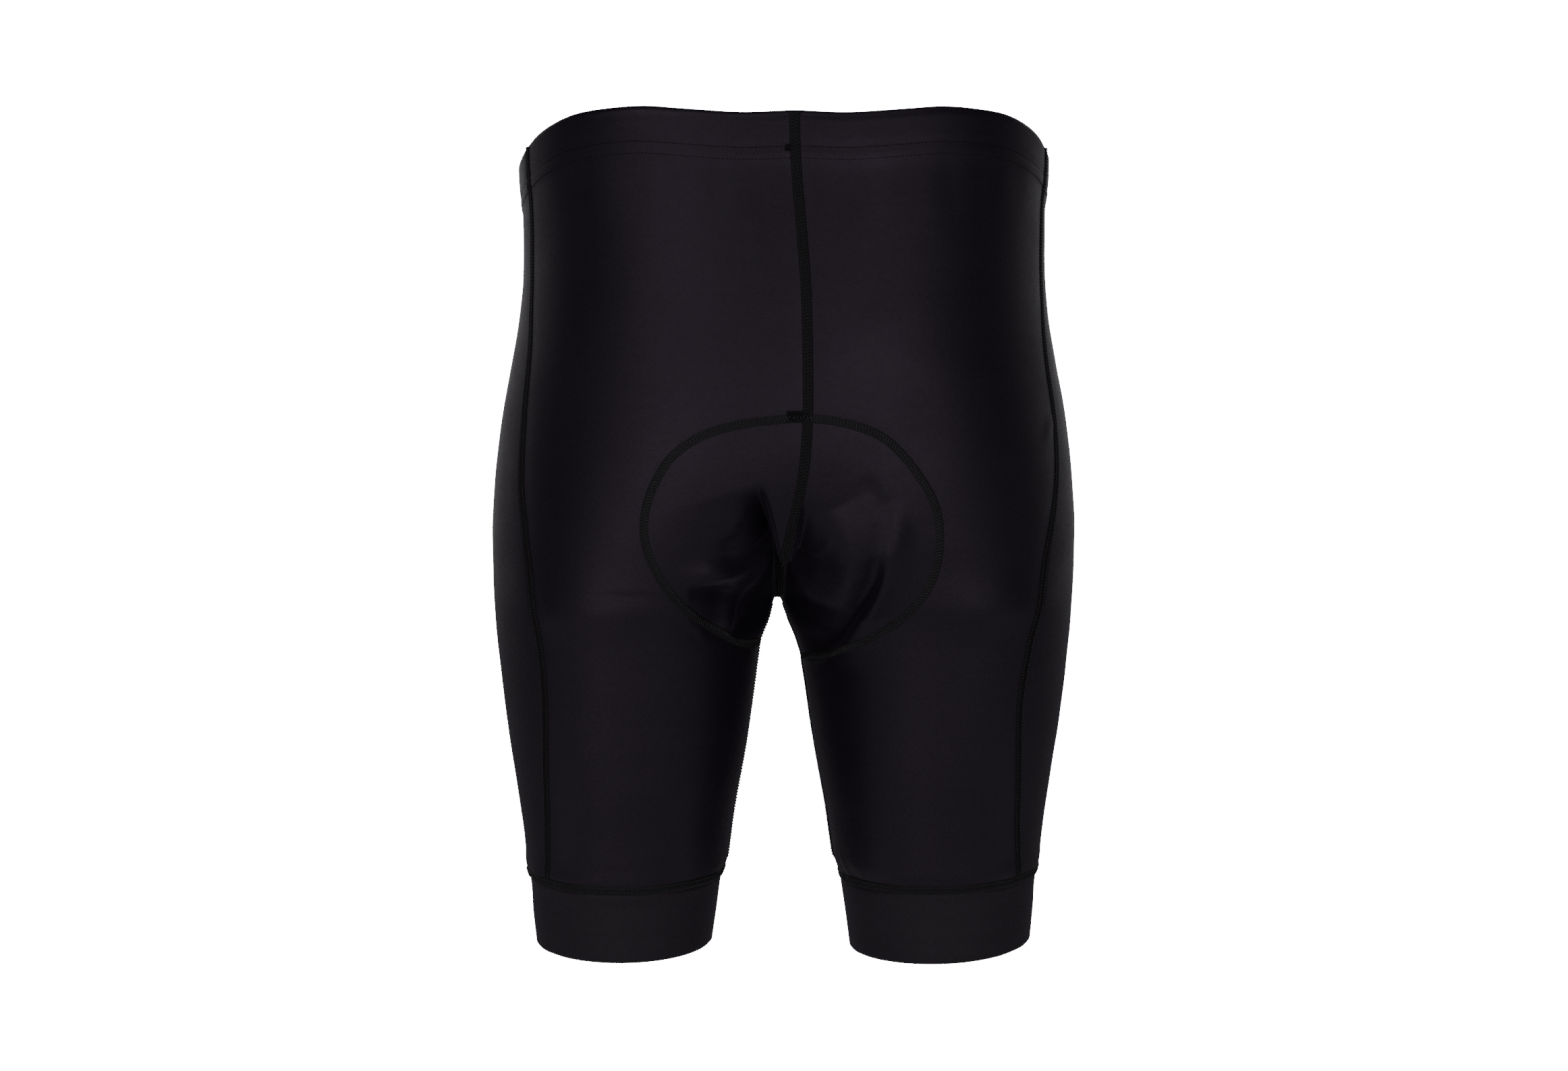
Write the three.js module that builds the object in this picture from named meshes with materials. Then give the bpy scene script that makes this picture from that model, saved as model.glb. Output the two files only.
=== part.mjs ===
// Cycling shorts, hollow and filled out as when worn, with nobody in them.
// Units are millimetres and degrees. Z is up, the front faces -Y, the back +Y, and +X is the
// wearer's left. The origin is the middle of the waist opening, about level with the side seams' tops.
//
// The cloth is one smooth form: a trunk that parts into two legs. Each piece of cloth is a patch of
// points on that form, bounded by its seams, with its folds pressed in and a wall behind it.

import * as THREE from 'three';

// Cloth walls and the clearances between pieces.
const BODY_WALL = 1.6;
const CUFF_WALL = 2.0;
const CASING_WALL = 2.2;
const SEAM_GAP = 0.3;

// The turned waist casing, which lies inside the top of the panels.
const CASING_DEPTH = 27;
const CASING_SETBACK = 1.2;

// Heights of the cuff seam and the leg hem at the sides, and how far each rises at the very back.
const CUFF_SEAM = { level: -446, rise: 5 };
const HEM = { level: -489, rise: 4 };

// The level where the open trunk rows end and the closed leg rows begin, and the levels that the
// crotch seam's lowest stretch lies between.
const FORK_LEVEL = -245;
const CROTCH_LEVELS = { high: -233, low: -277 };

// How softly the two legs run into each other at the crotch.
const CROTCH_SOFTNESS = 9;

// Over what distance the trunk's middle line gives way to its evenly wide sides.
const MIDDLE_SPREAD = 30;

// How the form is searched: the stride and length of a line, halvings, and the step for a slope.
const SEARCH = { stride: 4, longest: 260, halvings: 28, nudge: 0.05 };

// Grid of the panels: columns round the body and rows down it.
const BACK_COLUMNS = { count: 15, crowd: 1.3 };
const FRONT_COLUMNS = { count: 13, crowd: 1.3 };
const CROTCH_COLUMNS = { back: 8, front: 7 };
const CASING_ROWS = 2;
const TRUNK_ROWS = { count: 13, crowd: 1.25 };
const LEG_ROWS = [0, 0.03, 0.075, 0.13, 0.2, 0.28, 0.375, 0.49, 0.62, 0.76, 0.89, 0.955, 1];
const CUFF_ROWS = 3;

// The form at each level: half width, half of the gap between the legs, depth behind and before the
// middle, how square the trunk is, how far it has split into legs, and where its middle runs.
const sectionAt = smoothTable(
  ['z', 'wide', 'gap', 'back', 'front', 'square', 'split', 'middle'],
  [
    [40, 157.0, 0, 112.5, 106.5, 2.25, 0, 2],
    [0, 156.8, 0, 115, 108.5, 2.25, 0, 2],
    [-20, 156.6, 0, 116, 109, 2.25, 0, 1],
    [-45, 155.2, 0, 119, 110, 2.25, 0, -1],
    [-80, 155.7, 0, 123, 111, 2.25, 0, -3.5],
    [-105, 158.2, 0, 125.5, 111.5, 2.25, 0, -4.2],
    [-130, 162.5, 0, 127, 111.5, 2.25, 0.005, -4.5],
    [-155, 167.6, 0, 127.5, 111, 2.22, 0.02, -4.4],
    [-180, 171.7, 0, 126.5, 110, 2.2, 0.06, -2.8],
    [-203, 174.3, 0.5, 124, 108, 2.2, 0.13, 0.5],
    [-227, 176.1, 1.5, 119, 105, 2.2, 0.28, 5],
    [-245, 176.4, 3.5, 113.5, 102, 2.2, 0.5, 7],
    [-260, 176.3, 5, 108, 99.5, 2.2, 0.82, 6],
    [-267, 176.1, 7, 105.7, 98.2, 2.2, 0.94, 5.3],
    [-273, 175.9, 9, 103.5, 97, 2.2, 1, 4.5],
    [-288, 175.1, 11.3, 99.5, 95, 2.2, 1, 3.5],
    [-301, 174.0, 14.4, 97, 93.5, 2.2, 1, 3.2],
    [-326, 171.7, 17.8, 92.5, 90, 2.2, 1, 2.6],
    [-351, 169.1, 20.8, 88, 86.5, 2.2, 1, 2.5],
    [-376, 165.6, 24.5, 83.5, 82.5, 2.2, 1, 2.5],
    [-402, 162.0, 29.1, 78.5, 78, 2.2, 1, 2.5],
    [-427, 159.2, 32.6, 74.3, 73.8, 2.2, 1, 2.4],
    [-436, 158.9, 34.0, 73, 72.5, 2.2, 1, 2.4],
    [-443, 157.4, 36.3, 70.8, 70, 2.2, 1, 2.4],
    [-448, 156.2, 37.7, 69, 68, 2.2, 1, 2.4],
    [-455, 155.5, 38.8, 67.8, 66.6, 2.2, 1, 2.4],
    [-470, 154.8, 40.9, 66, 64.5, 2.2, 1, 2.3],
    [-495, 152.6, 44.2, 63.6, 61.8, 2.2, 1, 2.3],
  ],
);

// The waist edge: its height by the angle round the body, 90 at the back and -90 at the front.
const waistEdgeAt = smoothTable(
  ['angle', 'height'],
  [
    [-90, -28],
    [-60, -28.5],
    [-35, -27],
    [-15, -23],
    [0, -16.5],
    [8, -10.5],
    [16, -2],
    [24, 6.5],
    [32, 13],
    [40, 16],
    [50, 17.5],
    [60, 16],
    [75, 14],
    [90, 15],
  ],
);

// The side seam: how far behind the side line it runs at each level, and the same on each leg.
const sideSeamAt = smoothTable(
  ['z', 'behind', 'lean'],
  [
    [30, 38, 0],
    [-10, 39, 0],
    [-48, 41, 2],
    [-90, 45, 2],
    [-125, 54, 2],
    [-165, 58.5, 0],
    [-197, 63, 1],
    [-228, 70.5, 2],
    [-265, 77.5, 2.5],
    [-300, 77.5, 3.5],
    [-336, 73, 4.5],
    [-393, 59.5, 4.5],
    [-440, 48.5, 4],
    [-495, 41, 3],
  ],
);

// The largest folds. Each is a soft ridge (height above 0) or trough (below 0) along an arc through
// three places given by x and z, on the back (face 1) or the front (face -1).
const FOLDS = namedRows(
  ['face', 'x0', 'z0', 'x1', 'z1', 'x2', 'z2', 'width', 'height'],
  [
    [1, 23, -199, 18, -224, 9, -262, 9.5, -8.5],
    [1, 34, -208, 30, -230, 14, -262, 14, -4.5],
    [1, 66, -248, 42, -249, 15, -260, 8, 2.8],
    [1, 62, -258, 40, -261, 20, -271, 8, -2.4],
    [1, -4, -210, -1, -234, 2, -266, 9, -4.5],
    [1, -18, -200, -25, -226, -24, -256, 12, 5.5],
    [1, -43, -234, -38, -256, -13, -302, 9, -3.6],
    [1, -54, -214, -51, -246, -24, -300, 10, 3.2],
    [-1, 14, -258, 44, -243, 84, -212, 9, -3.2],
    [-1, 20, -272, 52, -262, 90, -246, 8, 2.4],
    [-1, -8, -262, -40, -239, -72, -214, 9, -3.4],
    [-1, -16, -276, -50, -260, -96, -236, 8, 2.2],
  ],
);

// How a fold is followed: steps along its arc, the depth of the garment's side over which it fades
// out, and how much of its height is left at its ends.
const FOLD_PATH = { steps: 16, fadeFrom: 12, fadeTo: 45, endShare: 0.35 };

// The seat pad: how far it reaches to its left and right of the crotch seam at each distance along
// that seam from its top edge at the back, on a seam as long as the table.
const PAD_TOP = { back: -153, front: -176 };
const PAD_TABLE_LENGTH = 352;
const padReachAt = smoothTable(
  ['along', 'left', 'right'],
  [
    [0, 9, 9],
    [2.5, 28, 24],
    [7, 46, 40],
    [15, 62, 53],
    [25, 71.5, 65],
    [37, 78.5, 77.5],
    [54, 84, 85.5],
    [70, 86, 88],
    [80, 84, 87.5],
    [89, 78, 85.5],
    [99, 69.5, 82],
    [111, 58.5, 76],
    [127, 50, 65],
    [145, 45, 55],
    [180, 35, 46],
    [200, 35, 42],
    [225, 42, 43],
    [260, 48, 48],
    [300, 50, 50],
    [325, 46, 46],
    [342, 35, 35],
    [349, 22, 22],
    [352, 9, 9],
  ],
);
const PAD = { edge: 2, core: 8, ramp: 26, clearance: 0.95, crotchClearance: 1.2, crotchReach: 16 };
const PAD_GRID = { along: 34, endCrowd: 0.6, across: 9, crowd: 1.1 };
const PAD_FOLDS = { reach: 11, directions: 8 };

// The crotch seam's line: the spacing of its points, and the level where it turns under.
const SEAM_LINE = { stride: 2, turnLevel: -262 };
const WALK_STEP = 3;

// Colours of the cloths, and how each takes the light.
const LYCRA = { color: 0x1e1b21, roughness: 0.55, metalness: 0 };
const GRIPPER = { color: 0x212023, roughness: 0.68, metalness: 0 };
const CASING = { color: 0x18171a, roughness: 0.7, metalness: 0 };
const FLEECE = { color: 0x141316, roughness: 0.95, metalness: 0 };

function namedRows(columns, rows) {
  return rows.map((row) => Object.fromEntries(columns.map((name, i) => [name, row[i]])));
}

// A table read smoothly between its rows by its first column.
function smoothTable(columns, rows) {
  const sorted = [...rows].sort((a, b) => a[0] - b[0]);
  const last = sorted.length - 1;
  const slopes = sorted.map((row, i) => {
    const low = sorted[Math.max(i - 1, 0)];
    const high = sorted[Math.min(i + 1, last)];
    return row.map((value, c) => (high[c] - low[c]) / (high[0] - low[0]));
  });
  return (at) => {
    const key = THREE.MathUtils.clamp(at, sorted[0][0], sorted[last][0]);
    let i = 0;
    while (i < last - 1 && sorted[i + 1][0] < key) i += 1;
    const span = sorted[i + 1][0] - sorted[i][0];
    const u = (key - sorted[i][0]) / span;
    const blend = {
      low: 2 * u ** 3 - 3 * u ** 2 + 1,
      lowSlope: (u ** 3 - 2 * u ** 2 + u) * span,
      high: 3 * u ** 2 - 2 * u ** 3,
      highSlope: (u ** 3 - u ** 2) * span,
    };
    return Object.fromEntries(columns.map((name, c) => [
      name,
      blend.low * sorted[i][c] + blend.lowSlope * slopes[i][c]
        + blend.high * sorted[i + 1][c] + blend.highSlope * slopes[i + 1][c],
    ]));
  };
}

// Half width of one leg and the place of its middle line, at a level and on one side.
function legAt(side, z) {
  const { wide, gap, middle } = sectionAt(z);
  const outer = wide - side * middle;
  return { centre: middle + side * (outer + gap) / 2, half: (outer - gap) / 2 };
}

// Below 0 inside the garment, 0 on its outer face and above 0 outside.
function form(x, y, z) {
  const { wide, gap, back, front, square, split, middle } = sectionAt(z);
  const depth = y > 0 ? back : front;
  const trunk = (Math.abs(x / wide) ** square + Math.abs(y / depth) ** square) ** (1 / square);
  const off = x - middle;
  const outer = wide - middle * Math.tanh(off / MIDDLE_SPREAD);
  const centre = (outer + gap) / 2;
  const half = (outer - gap) / 2;
  const leg = Math.hypot((Math.hypot(off, CROTCH_SOFTNESS) - centre) / half, y / depth);
  const parted = THREE.MathUtils.clamp(split, 0, 1);
  return (1 - parted) * trunk + parted * leg - 1;
}

function slope(p) {
  const h = SEARCH.nudge;
  return new THREE.Vector3(
    form(p.x + h, p.y, p.z) - form(p.x - h, p.y, p.z),
    form(p.x, p.y + h, p.z) - form(p.x, p.y - h, p.z),
    form(p.x, p.y, p.z + h) - form(p.x, p.y, p.z - h),
  ).divideScalar(2 * h);
}

function outward(p) {
  return slope(p).normalize();
}

// The point where a level line from a start inside the garment meets the form.
function reach(startX, startY, directionX, directionY, z) {
  const value = (far) => form(startX + far * directionX, startY + far * directionY, z);
  let far = SEARCH.stride;
  while (far < SEARCH.longest && value(far) < 0) far += SEARCH.stride;
  let near = far - SEARCH.stride;
  for (let i = 0; i < SEARCH.halvings; i += 1) {
    const half = (near + far) / 2;
    if (value(half) < 0) near = half;
    else far = half;
  }
  return new THREE.Vector3(startX + near * directionX, startY + near * directionY, z);
}

// A point of the trunk by its angle round the garment's middle line.
function trunkPoint(side, angle, z) {
  const turn = THREE.MathUtils.degToRad(angle);
  return reach(sectionAt(z).middle, 0, side * Math.cos(turn), Math.sin(turn), z);
}

// A point of one leg by its angle round that leg's own middle line.
function legPoint(side, angle, z) {
  const turn = THREE.MathUtils.degToRad(angle);
  return reach(legAt(side, z).centre, 0, side * Math.cos(turn), Math.sin(turn), z);
}

// The crotch seam's lowest stretch, by how far behind or before the middle it is.
function crotchPoint(y) {
  let { high, low } = CROTCH_LEVELS;
  for (let i = 0; i < SEARCH.halvings; i += 1) {
    const half = (high + low) / 2;
    if (form(sectionAt(half).middle, y, half) < 0) high = half;
    else low = half;
  }
  return new THREE.Vector3(sectionAt(high).middle, y, high);
}

function seamPoint(side, z) {
  const { behind, lean } = sideSeamAt(z);
  return reach(legAt(side, z).centre, behind - side * lean, side, 0, z);
}

function trunkAngleOf(side, p) {
  return THREE.MathUtils.radToDeg(Math.atan2(p.y, side * (p.x - sectionAt(p.z).middle)));
}

// A leg angle runs past 180 or -180 on the inner side, so that it never jumps along a panel.
function legAngleOf(side, p, face) {
  const angle = THREE.MathUtils.radToDeg(Math.atan2(p.y, side * (p.x - legAt(side, p.z).centre)));
  const wraps = face > 0 ? angle < -90 : angle > 90;
  return wraps ? angle + face * 360 : angle;
}

function foldPath(fold, t) {
  const a = (1 - t) ** 2;
  const b = 2 * t * (1 - t);
  const c = t ** 2;
  const middleX = 2 * fold.x1 - (fold.x0 + fold.x2) / 2;
  const middleZ = 2 * fold.z1 - (fold.z0 + fold.z2) / 2;
  return [a * fold.x0 + b * middleX + c * fold.x2, a * fold.z0 + b * middleZ + c * fold.z2];
}

// How far the folds lift the cloth off the form at a point.
function foldLift(p) {
  let lift = 0;
  for (const fold of FOLDS) {
    const onFace = THREE.MathUtils.smoothstep(fold.face * p.y, FOLD_PATH.fadeFrom, FOLD_PATH.fadeTo);
    if (onFace === 0) continue;
    let nearest = Infinity;
    let at = 0;
    for (let i = 0; i <= FOLD_PATH.steps; i += 1) {
      const [x, z] = foldPath(fold, i / FOLD_PATH.steps);
      const away = Math.hypot(p.x - x, p.z - z);
      if (away < nearest) {
        nearest = away;
        at = i / FOLD_PATH.steps;
      }
    }
    const ends = THREE.MathUtils.lerp(FOLD_PATH.endShare, 1, Math.sin(Math.PI * at));
    lift += onFace * ends * fold.height * Math.exp(-((nearest / fold.width) ** 2));
  }
  return lift;
}

// The deepest that the folds press the cloth in round a point, which the pad behind them gives way to.
function foldPress(p) {
  let press = Math.min(0, foldLift(p));
  for (let i = 0; i < PAD_FOLDS.directions; i += 1) {
    const turn = (2 * Math.PI * i) / PAD_FOLDS.directions;
    const aside = new THREE.Vector3(Math.cos(turn), 0, Math.sin(turn)).multiplyScalar(PAD_FOLDS.reach);
    press = Math.min(press, foldLift(aside.add(p)));
  }
  return press;
}

// Fractions from 0 to 1 that crowd towards 0.
function crowded({ count, crowd }) {
  return Array.from({ length: count + 1 }, (_, i) => (i / count) ** crowd);
}

// Fractions from 0 to 1 that crowd towards 1.
function crowdedLate(spread) {
  return crowded(spread).map((u) => 1 - u).reverse();
}

class Patch {
  constructor() {
    this.points = [];
    this.faces = [];
  }

  add(point) {
    this.points.push(point);
    return this.points.length - 1;
  }

  addRow(points) {
    return points.map((point) => this.add(point));
  }

  // Faces between each row and the next, all the way round where the rows are closed.
  fill(rows, closed = false) {
    for (let r = 0; r + 1 < rows.length; r += 1) {
      const count = rows[r].length;
      const steps = closed ? count : count - 1;
      for (let c = 0; c < steps; c += 1) {
        const d = (c + 1) % count;
        this.faces.push([rows[r][c], rows[r + 1][c], rows[r + 1][d], rows[r][d]]);
      }
    }
  }

  // Turns every face outwards, as they all run the same way round.
  faceOut() {
    const [a, b, c] = this.faces[0].map((i) => this.points[i]);
    const across = b.clone().sub(a).cross(c.clone().sub(a));
    if (across.dot(outward(a)) < 0) this.faces.forEach((face) => face.reverse());
  }

  // Edges that only one face has.
  rim() {
    const edges = new Map();
    for (const face of this.faces) {
      face.forEach((from, i) => edges.set(`${from},${face[(i + 1) % face.length]}`, true));
    }
    return [...edges.keys()]
      .map((key) => key.split(',').map(Number))
      .filter(([from, to]) => !edges.has(`${to},${from}`));
  }
}

// A closed solid: the patch's outer face set in from the form, a wall behind it, and its rim drawn
// back from the seam lines.
function thicken(patch, { setIn = () => 0, wall, drawBack = SEAM_GAP / 2, lift = foldLift }) {
  patch.faceOut();
  const { points, faces } = patch;
  const normals = points.map(outward);
  const rim = patch.rim();
  const inwards = new Map();
  for (const [from, to] of rim) {
    const along = points[to].clone().sub(points[from]);
    const inward = normals[from].clone().cross(along).normalize();
    for (const end of [from, to]) inwards.set(end, [...(inwards.get(end) ?? []), inward]);
  }
  const outer = points.map((point, i) => {
    const moved = point.clone().addScaledVector(normals[i], lift(point) - setIn(i));
    const pulls = inwards.get(i);
    if (pulls) {
      const corner = 1 + pulls[0].dot(pulls[1]);
      moved.addScaledVector(pulls[0].clone().add(pulls[1]), drawBack / Math.max(corner, 0.5));
    }
    return moved;
  });
  const inner = outer.map((point, i) => point.clone().addScaledVector(normals[i], -wall(i)));
  const vertices = [...outer, ...inner];
  const count = points.length;
  const triangles = [];
  for (const [a, b, c, d] of faces) {
    const shortAC = points[a].distanceTo(points[c]) < points[b].distanceTo(points[d]);
    const halves = shortAC ? [[a, b, c], [a, c, d]] : [[a, b, d], [b, c, d]];
    for (const [p, q, r] of halves) triangles.push(p, q, r, r + count, q + count, p + count);
  }
  for (const [from, to] of rim) {
    triangles.push(to, from, from + count, to, from + count, to + count);
  }
  const geometry = new THREE.BufferGeometry();
  geometry.setAttribute('position', new THREE.Float32BufferAttribute(vertices.flatMap((v) => v.toArray()), 3));
  geometry.setIndex(triangles);
  geometry.computeVertexNormals();
  return geometry;
}

// Angles of a panel's columns at a level of the trunk, from centre back to centre front.
function trunkAngles(side, face, z) {
  const seam = trunkAngleOf(side, seamPoint(side, z));
  if (face > 0) return crowded(BACK_COLUMNS).map((u) => 90 + (seam - 90) * u);
  return crowdedLate(FRONT_COLUMNS).map((u) => seam + (-90 - seam) * u);
}

// The height of trunk row i at an angle: first the casing's rows, then the rest down to the fork.
function trunkRowHeight(i, angle) {
  const top = waistEdgeAt(angle).height;
  if (i <= CASING_ROWS) return top - (CASING_DEPTH * i) / CASING_ROWS;
  const down = crowdedLate(TRUNK_ROWS)[i - CASING_ROWS];
  return THREE.MathUtils.lerp(top - CASING_DEPTH, FORK_LEVEL, down);
}

// One row of a panel across the trunk. The seam's angle shifts with the height, so it is read twice,
// first at the height that the row has near the side seam.
function trunkRow(side, face, i) {
  const nearSeam = 15;
  const guess = trunkAngles(side, face, trunkRowHeight(i, nearSeam));
  return guess.map((angle, column) => {
    const nearly = trunkAngles(side, face, trunkRowHeight(i, angle))[column];
    const z = trunkRowHeight(i, nearly);
    return trunkPoint(side, nearly, z);
  });
}

// The crotch seam under one face, from the inseam to where the leg rows meet the trunk rows.
function crotchRow(face) {
  const fork = trunkPoint(1, 90 * face, FORK_LEVEL);
  const count = face > 0 ? CROTCH_COLUMNS.back : CROTCH_COLUMNS.front;
  return Array.from({ length: count }, (_, i) => crotchPoint((fork.y * i) / count));
}

// Levels of the cuff seam and the hem tip up a little towards the back.
function tipped({ level, rise }, angle) {
  return level + rise * Math.sin(THREE.MathUtils.degToRad(angle));
}

// A leg column's angle at a level: arc columns follow the side seam, crotch columns stay.
function legColumnAngle(side, face, angle, forkAngle, seamAngle, z) {
  const towardsSeam = (angle - forkAngle) / (seamAngle - forkAngle);
  if (towardsSeam <= 0) return angle;
  const seamNow = legAngleOf(side, seamPoint(side, z), face);
  return forkAngle + (seamNow - forkAngle) * towardsSeam;
}

// Angles of a panel's columns on the leg, with the level that each starts from.
function legColumns(side, face) {
  const arc = trunkRow(side, face, CASING_ROWS + TRUNK_ROWS.count);
  if (face < 0) arc.reverse();
  const starts = [...crotchRow(face), ...arc];
  const fork = legAngleOf(side, arc[0], face);
  const seam = legAngleOf(side, arc[arc.length - 1], face);
  return starts.map((point) => {
    const angle = legAngleOf(side, point, face);
    return { point, angleAt: (z) => legColumnAngle(side, face, angle, fork, seam, z) };
  });
}

// One front or back panel of one side: trunk rows down to the fork, then leg rows to the cuff seam.
function panel(side, face) {
  const patch = new Patch();
  const trunk = [];
  for (let i = 0; i <= CASING_ROWS + TRUNK_ROWS.count; i += 1) trunk.push(patch.addRow(trunkRow(side, face, i)));
  patch.fill(trunk);

  const columns = legColumns(side, face);
  const bottoms = columns.map(({ angleAt }) => tipped(CUFF_SEAM, angleAt(CUFF_SEAM.level)));
  const fork = trunk[trunk.length - 1];
  const crotch = patch.addRow(crotchRow(face));
  const leg = LEG_ROWS.map((down) => {
    if (down === 0) return face > 0 ? [...crotch, ...fork] : [...crotch, ...[...fork].reverse()];
    return patch.addRow(columns.map(({ point, angleAt }, c) => {
      const z = THREE.MathUtils.lerp(point.z, bottoms[c], down);
      return legPoint(side, angleAt(z), z);
    }));
  });
  // Front rows run the other way round the leg, so they are turned to match the trunk rows.
  patch.fill(face > 0 ? leg : leg.map((row) => [...row].reverse()));
  return thicken(patch, { wall: () => BODY_WALL });
}

// The knitted band round one leg, on the same columns as the panels above it.
function cuff(side) {
  const patch = new Patch();
  const back = legColumns(side, 1);
  const front = legColumns(side, -1).slice(1, -1).reverse();
  const columns = [...back, ...front];
  const rows = [];
  for (let i = 0; i <= CUFF_ROWS; i += 1) {
    rows.push(patch.addRow(columns.map(({ angleAt }) => {
      const high = tipped(CUFF_SEAM, angleAt(CUFF_SEAM.level));
      const low = tipped(HEM, angleAt(CUFF_SEAM.level));
      const z = THREE.MathUtils.lerp(high, low, i / CUFF_ROWS);
      return legPoint(side, angleAt(z), z);
    })));
  }
  patch.fill(rows, true);
  return thicken(patch, { wall: () => CUFF_WALL });
}

// The turned-in casing with its elastic: a ring on the panels' own points, set in behind them.
function casing() {
  const patch = new Patch();
  const rows = [];
  for (let i = 0; i <= CASING_ROWS; i += 1) {
    const left = [...trunkRow(1, 1, i), ...trunkRow(1, -1, i).slice(1)];
    const right = [...trunkRow(-1, 1, i), ...trunkRow(-1, -1, i).slice(1)];
    rows.push(patch.addRow([...left, ...right.reverse().slice(1, -1)]));
  }
  patch.fill(rows, true);
  const behind = BODY_WALL + SEAM_GAP;
  return thicken(patch, { setIn: () => behind, wall: () => CASING_WALL, drawBack: CASING_SETBACK });
}

// Points along the centre seam from the pad's top edge at the back, under the crotch, to the front.
function centreLine() {
  const { stride, turnLevel } = SEAM_LINE;
  const line = [];
  for (let z = PAD_TOP.back; z > turnLevel; z -= stride) line.push(trunkPoint(1, 90, z));
  const backTurn = trunkPoint(1, 90, turnLevel).y;
  const frontTurn = trunkPoint(1, -90, turnLevel).y;
  for (let y = backTurn; y > frontTurn; y -= stride) line.push(crotchPoint(y));
  for (let z = turnLevel; z < PAD_TOP.front; z += stride) line.push(trunkPoint(1, -90, z));
  return line;
}

// The point at a distance along a line of points, with the direction the line has there.
function alongLine(line, distance) {
  let left = distance;
  for (let i = 0; i + 1 < line.length; i += 1) {
    const step = line[i].distanceTo(line[i + 1]);
    if (left <= step || i + 2 === line.length) {
      const heading = line[i + 1].clone().sub(line[i]).normalize();
      return { point: line[i].clone().addScaledVector(heading, Math.min(left, step)), heading };
    }
    left -= step;
  }
  return null;
}

function lineLength(line) {
  return line.slice(1).reduce((sum, point, i) => sum + point.distanceTo(line[i]), 0);
}

// Moves a point onto the form.
function settle(p) {
  for (let i = 0; i < 4; i += 1) {
    const push = slope(p);
    p.addScaledVector(push, -form(p.x, p.y, p.z) / push.lengthSq());
  }
  return p;
}

// Walks straight ahead over the form and returns where the walk ends.
function walk(start, heading, distance) {
  const p = settle(start.clone());
  const ahead = heading.clone();
  const steps = Math.max(1, Math.ceil(distance / WALK_STEP));
  for (let i = 0; i < steps; i += 1) {
    p.addScaledVector(ahead, distance / steps);
    settle(p);
    ahead.addScaledVector(outward(p), -ahead.dot(outward(p))).normalize();
  }
  return p;
}

// The seat pad, sewn inside across both halves: thick in its core and thin at its stitched edge.
function pad() {
  const patch = new Patch();
  const line = centreLine();
  const length = lineLength(line);
  const margins = [];
  const offsets = [];
  const rows = [];
  for (let i = 0; i <= PAD_GRID.along; i += 1) {
    const turn = (2 * Math.PI * i) / PAD_GRID.along;
    const along = (length * (turn - PAD_GRID.endCrowd * Math.sin(turn))) / (2 * Math.PI);
    const { point, heading } = alongLine(line, along);
    const reaches = padReachAt((along * PAD_TABLE_LENGTH) / length);
    const row = [];
    for (let j = -PAD_GRID.across; j <= PAD_GRID.across; j += 1) {
      const half = j > 0 ? reaches.left : reaches.right;
      const part = (Math.abs(j) / PAD_GRID.across) ** PAD_GRID.crowd;
      const sideways = heading.clone().cross(outward(settle(point.clone()))).multiplyScalar(Math.sign(j) || 1);
      row.push(patch.add(walk(point, sideways, part * half)));
      margins.push(Math.min(half * (1 - part), along, length - along));
      offsets.push(part * half);
    }
    rows.push(row);
  }
  patch.fill(rows);
  const clearanceAt = (i) => {
    const near = Math.exp(-((offsets[i] / PAD.crotchReach) ** 2));
    return PAD.clearance + (PAD.crotchClearance - PAD.clearance) * near;
  };
  const wallAt = (i) => {
    const rise = THREE.MathUtils.smoothstep(margins[i], 0, PAD.ramp);
    return THREE.MathUtils.lerp(PAD.edge, PAD.core, rise);
  };
  return thicken(patch, {
    setIn: (i) => BODY_WALL + clearanceAt(i),
    wall: wallAt,
    drawBack: 0,
    lift: foldPress,
  });
}

function piece(name, geometry, finish) {
  const mesh = new THREE.Mesh(geometry, new THREE.MeshStandardMaterial(finish));
  mesh.name = name;
  return mesh;
}

const shorts = new THREE.Group();
for (const [name, side] of [['left', 1], ['right', -1]]) {
  shorts.add(piece(`back_${name}`, panel(side, 1), LYCRA));
  shorts.add(piece(`front_${name}`, panel(side, -1), LYCRA));
  shorts.add(piece(`cuff_${name}`, cuff(side), GRIPPER));
}
shorts.add(piece('waist_casing', casing(), CASING));
shorts.add(piece('seat_pad', pad(), FLEECE));

export default shorts;
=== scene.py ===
"""Cycling shorts of near-black stretch knit, hollow and filled out as worn, with their stitching.

The cloth is one smooth form, a trunk that parts into two legs, with folds and seams pressed into it.
The form and its tables are in millimetres, with angles in degrees, and meshes are made in metres.
"""

import logging
import math
from dataclasses import dataclass, field
from enum import Enum
from typing import ClassVar

import bpy
import numpy as np
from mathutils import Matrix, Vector
from mathutils.kdtree import KDTree


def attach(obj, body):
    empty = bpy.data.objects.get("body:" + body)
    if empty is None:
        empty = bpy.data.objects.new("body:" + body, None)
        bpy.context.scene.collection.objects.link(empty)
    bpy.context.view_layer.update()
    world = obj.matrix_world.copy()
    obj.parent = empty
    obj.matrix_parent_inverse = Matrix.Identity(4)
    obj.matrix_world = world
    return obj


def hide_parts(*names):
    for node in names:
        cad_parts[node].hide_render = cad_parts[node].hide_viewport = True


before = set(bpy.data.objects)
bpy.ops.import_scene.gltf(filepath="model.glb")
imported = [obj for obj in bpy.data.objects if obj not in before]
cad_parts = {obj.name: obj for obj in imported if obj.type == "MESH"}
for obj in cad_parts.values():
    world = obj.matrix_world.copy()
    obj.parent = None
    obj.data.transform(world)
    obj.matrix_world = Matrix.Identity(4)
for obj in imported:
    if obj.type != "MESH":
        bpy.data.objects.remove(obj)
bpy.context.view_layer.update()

MM = 0.001
Array = np.ndarray
Section = dict[str, Array]
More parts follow.
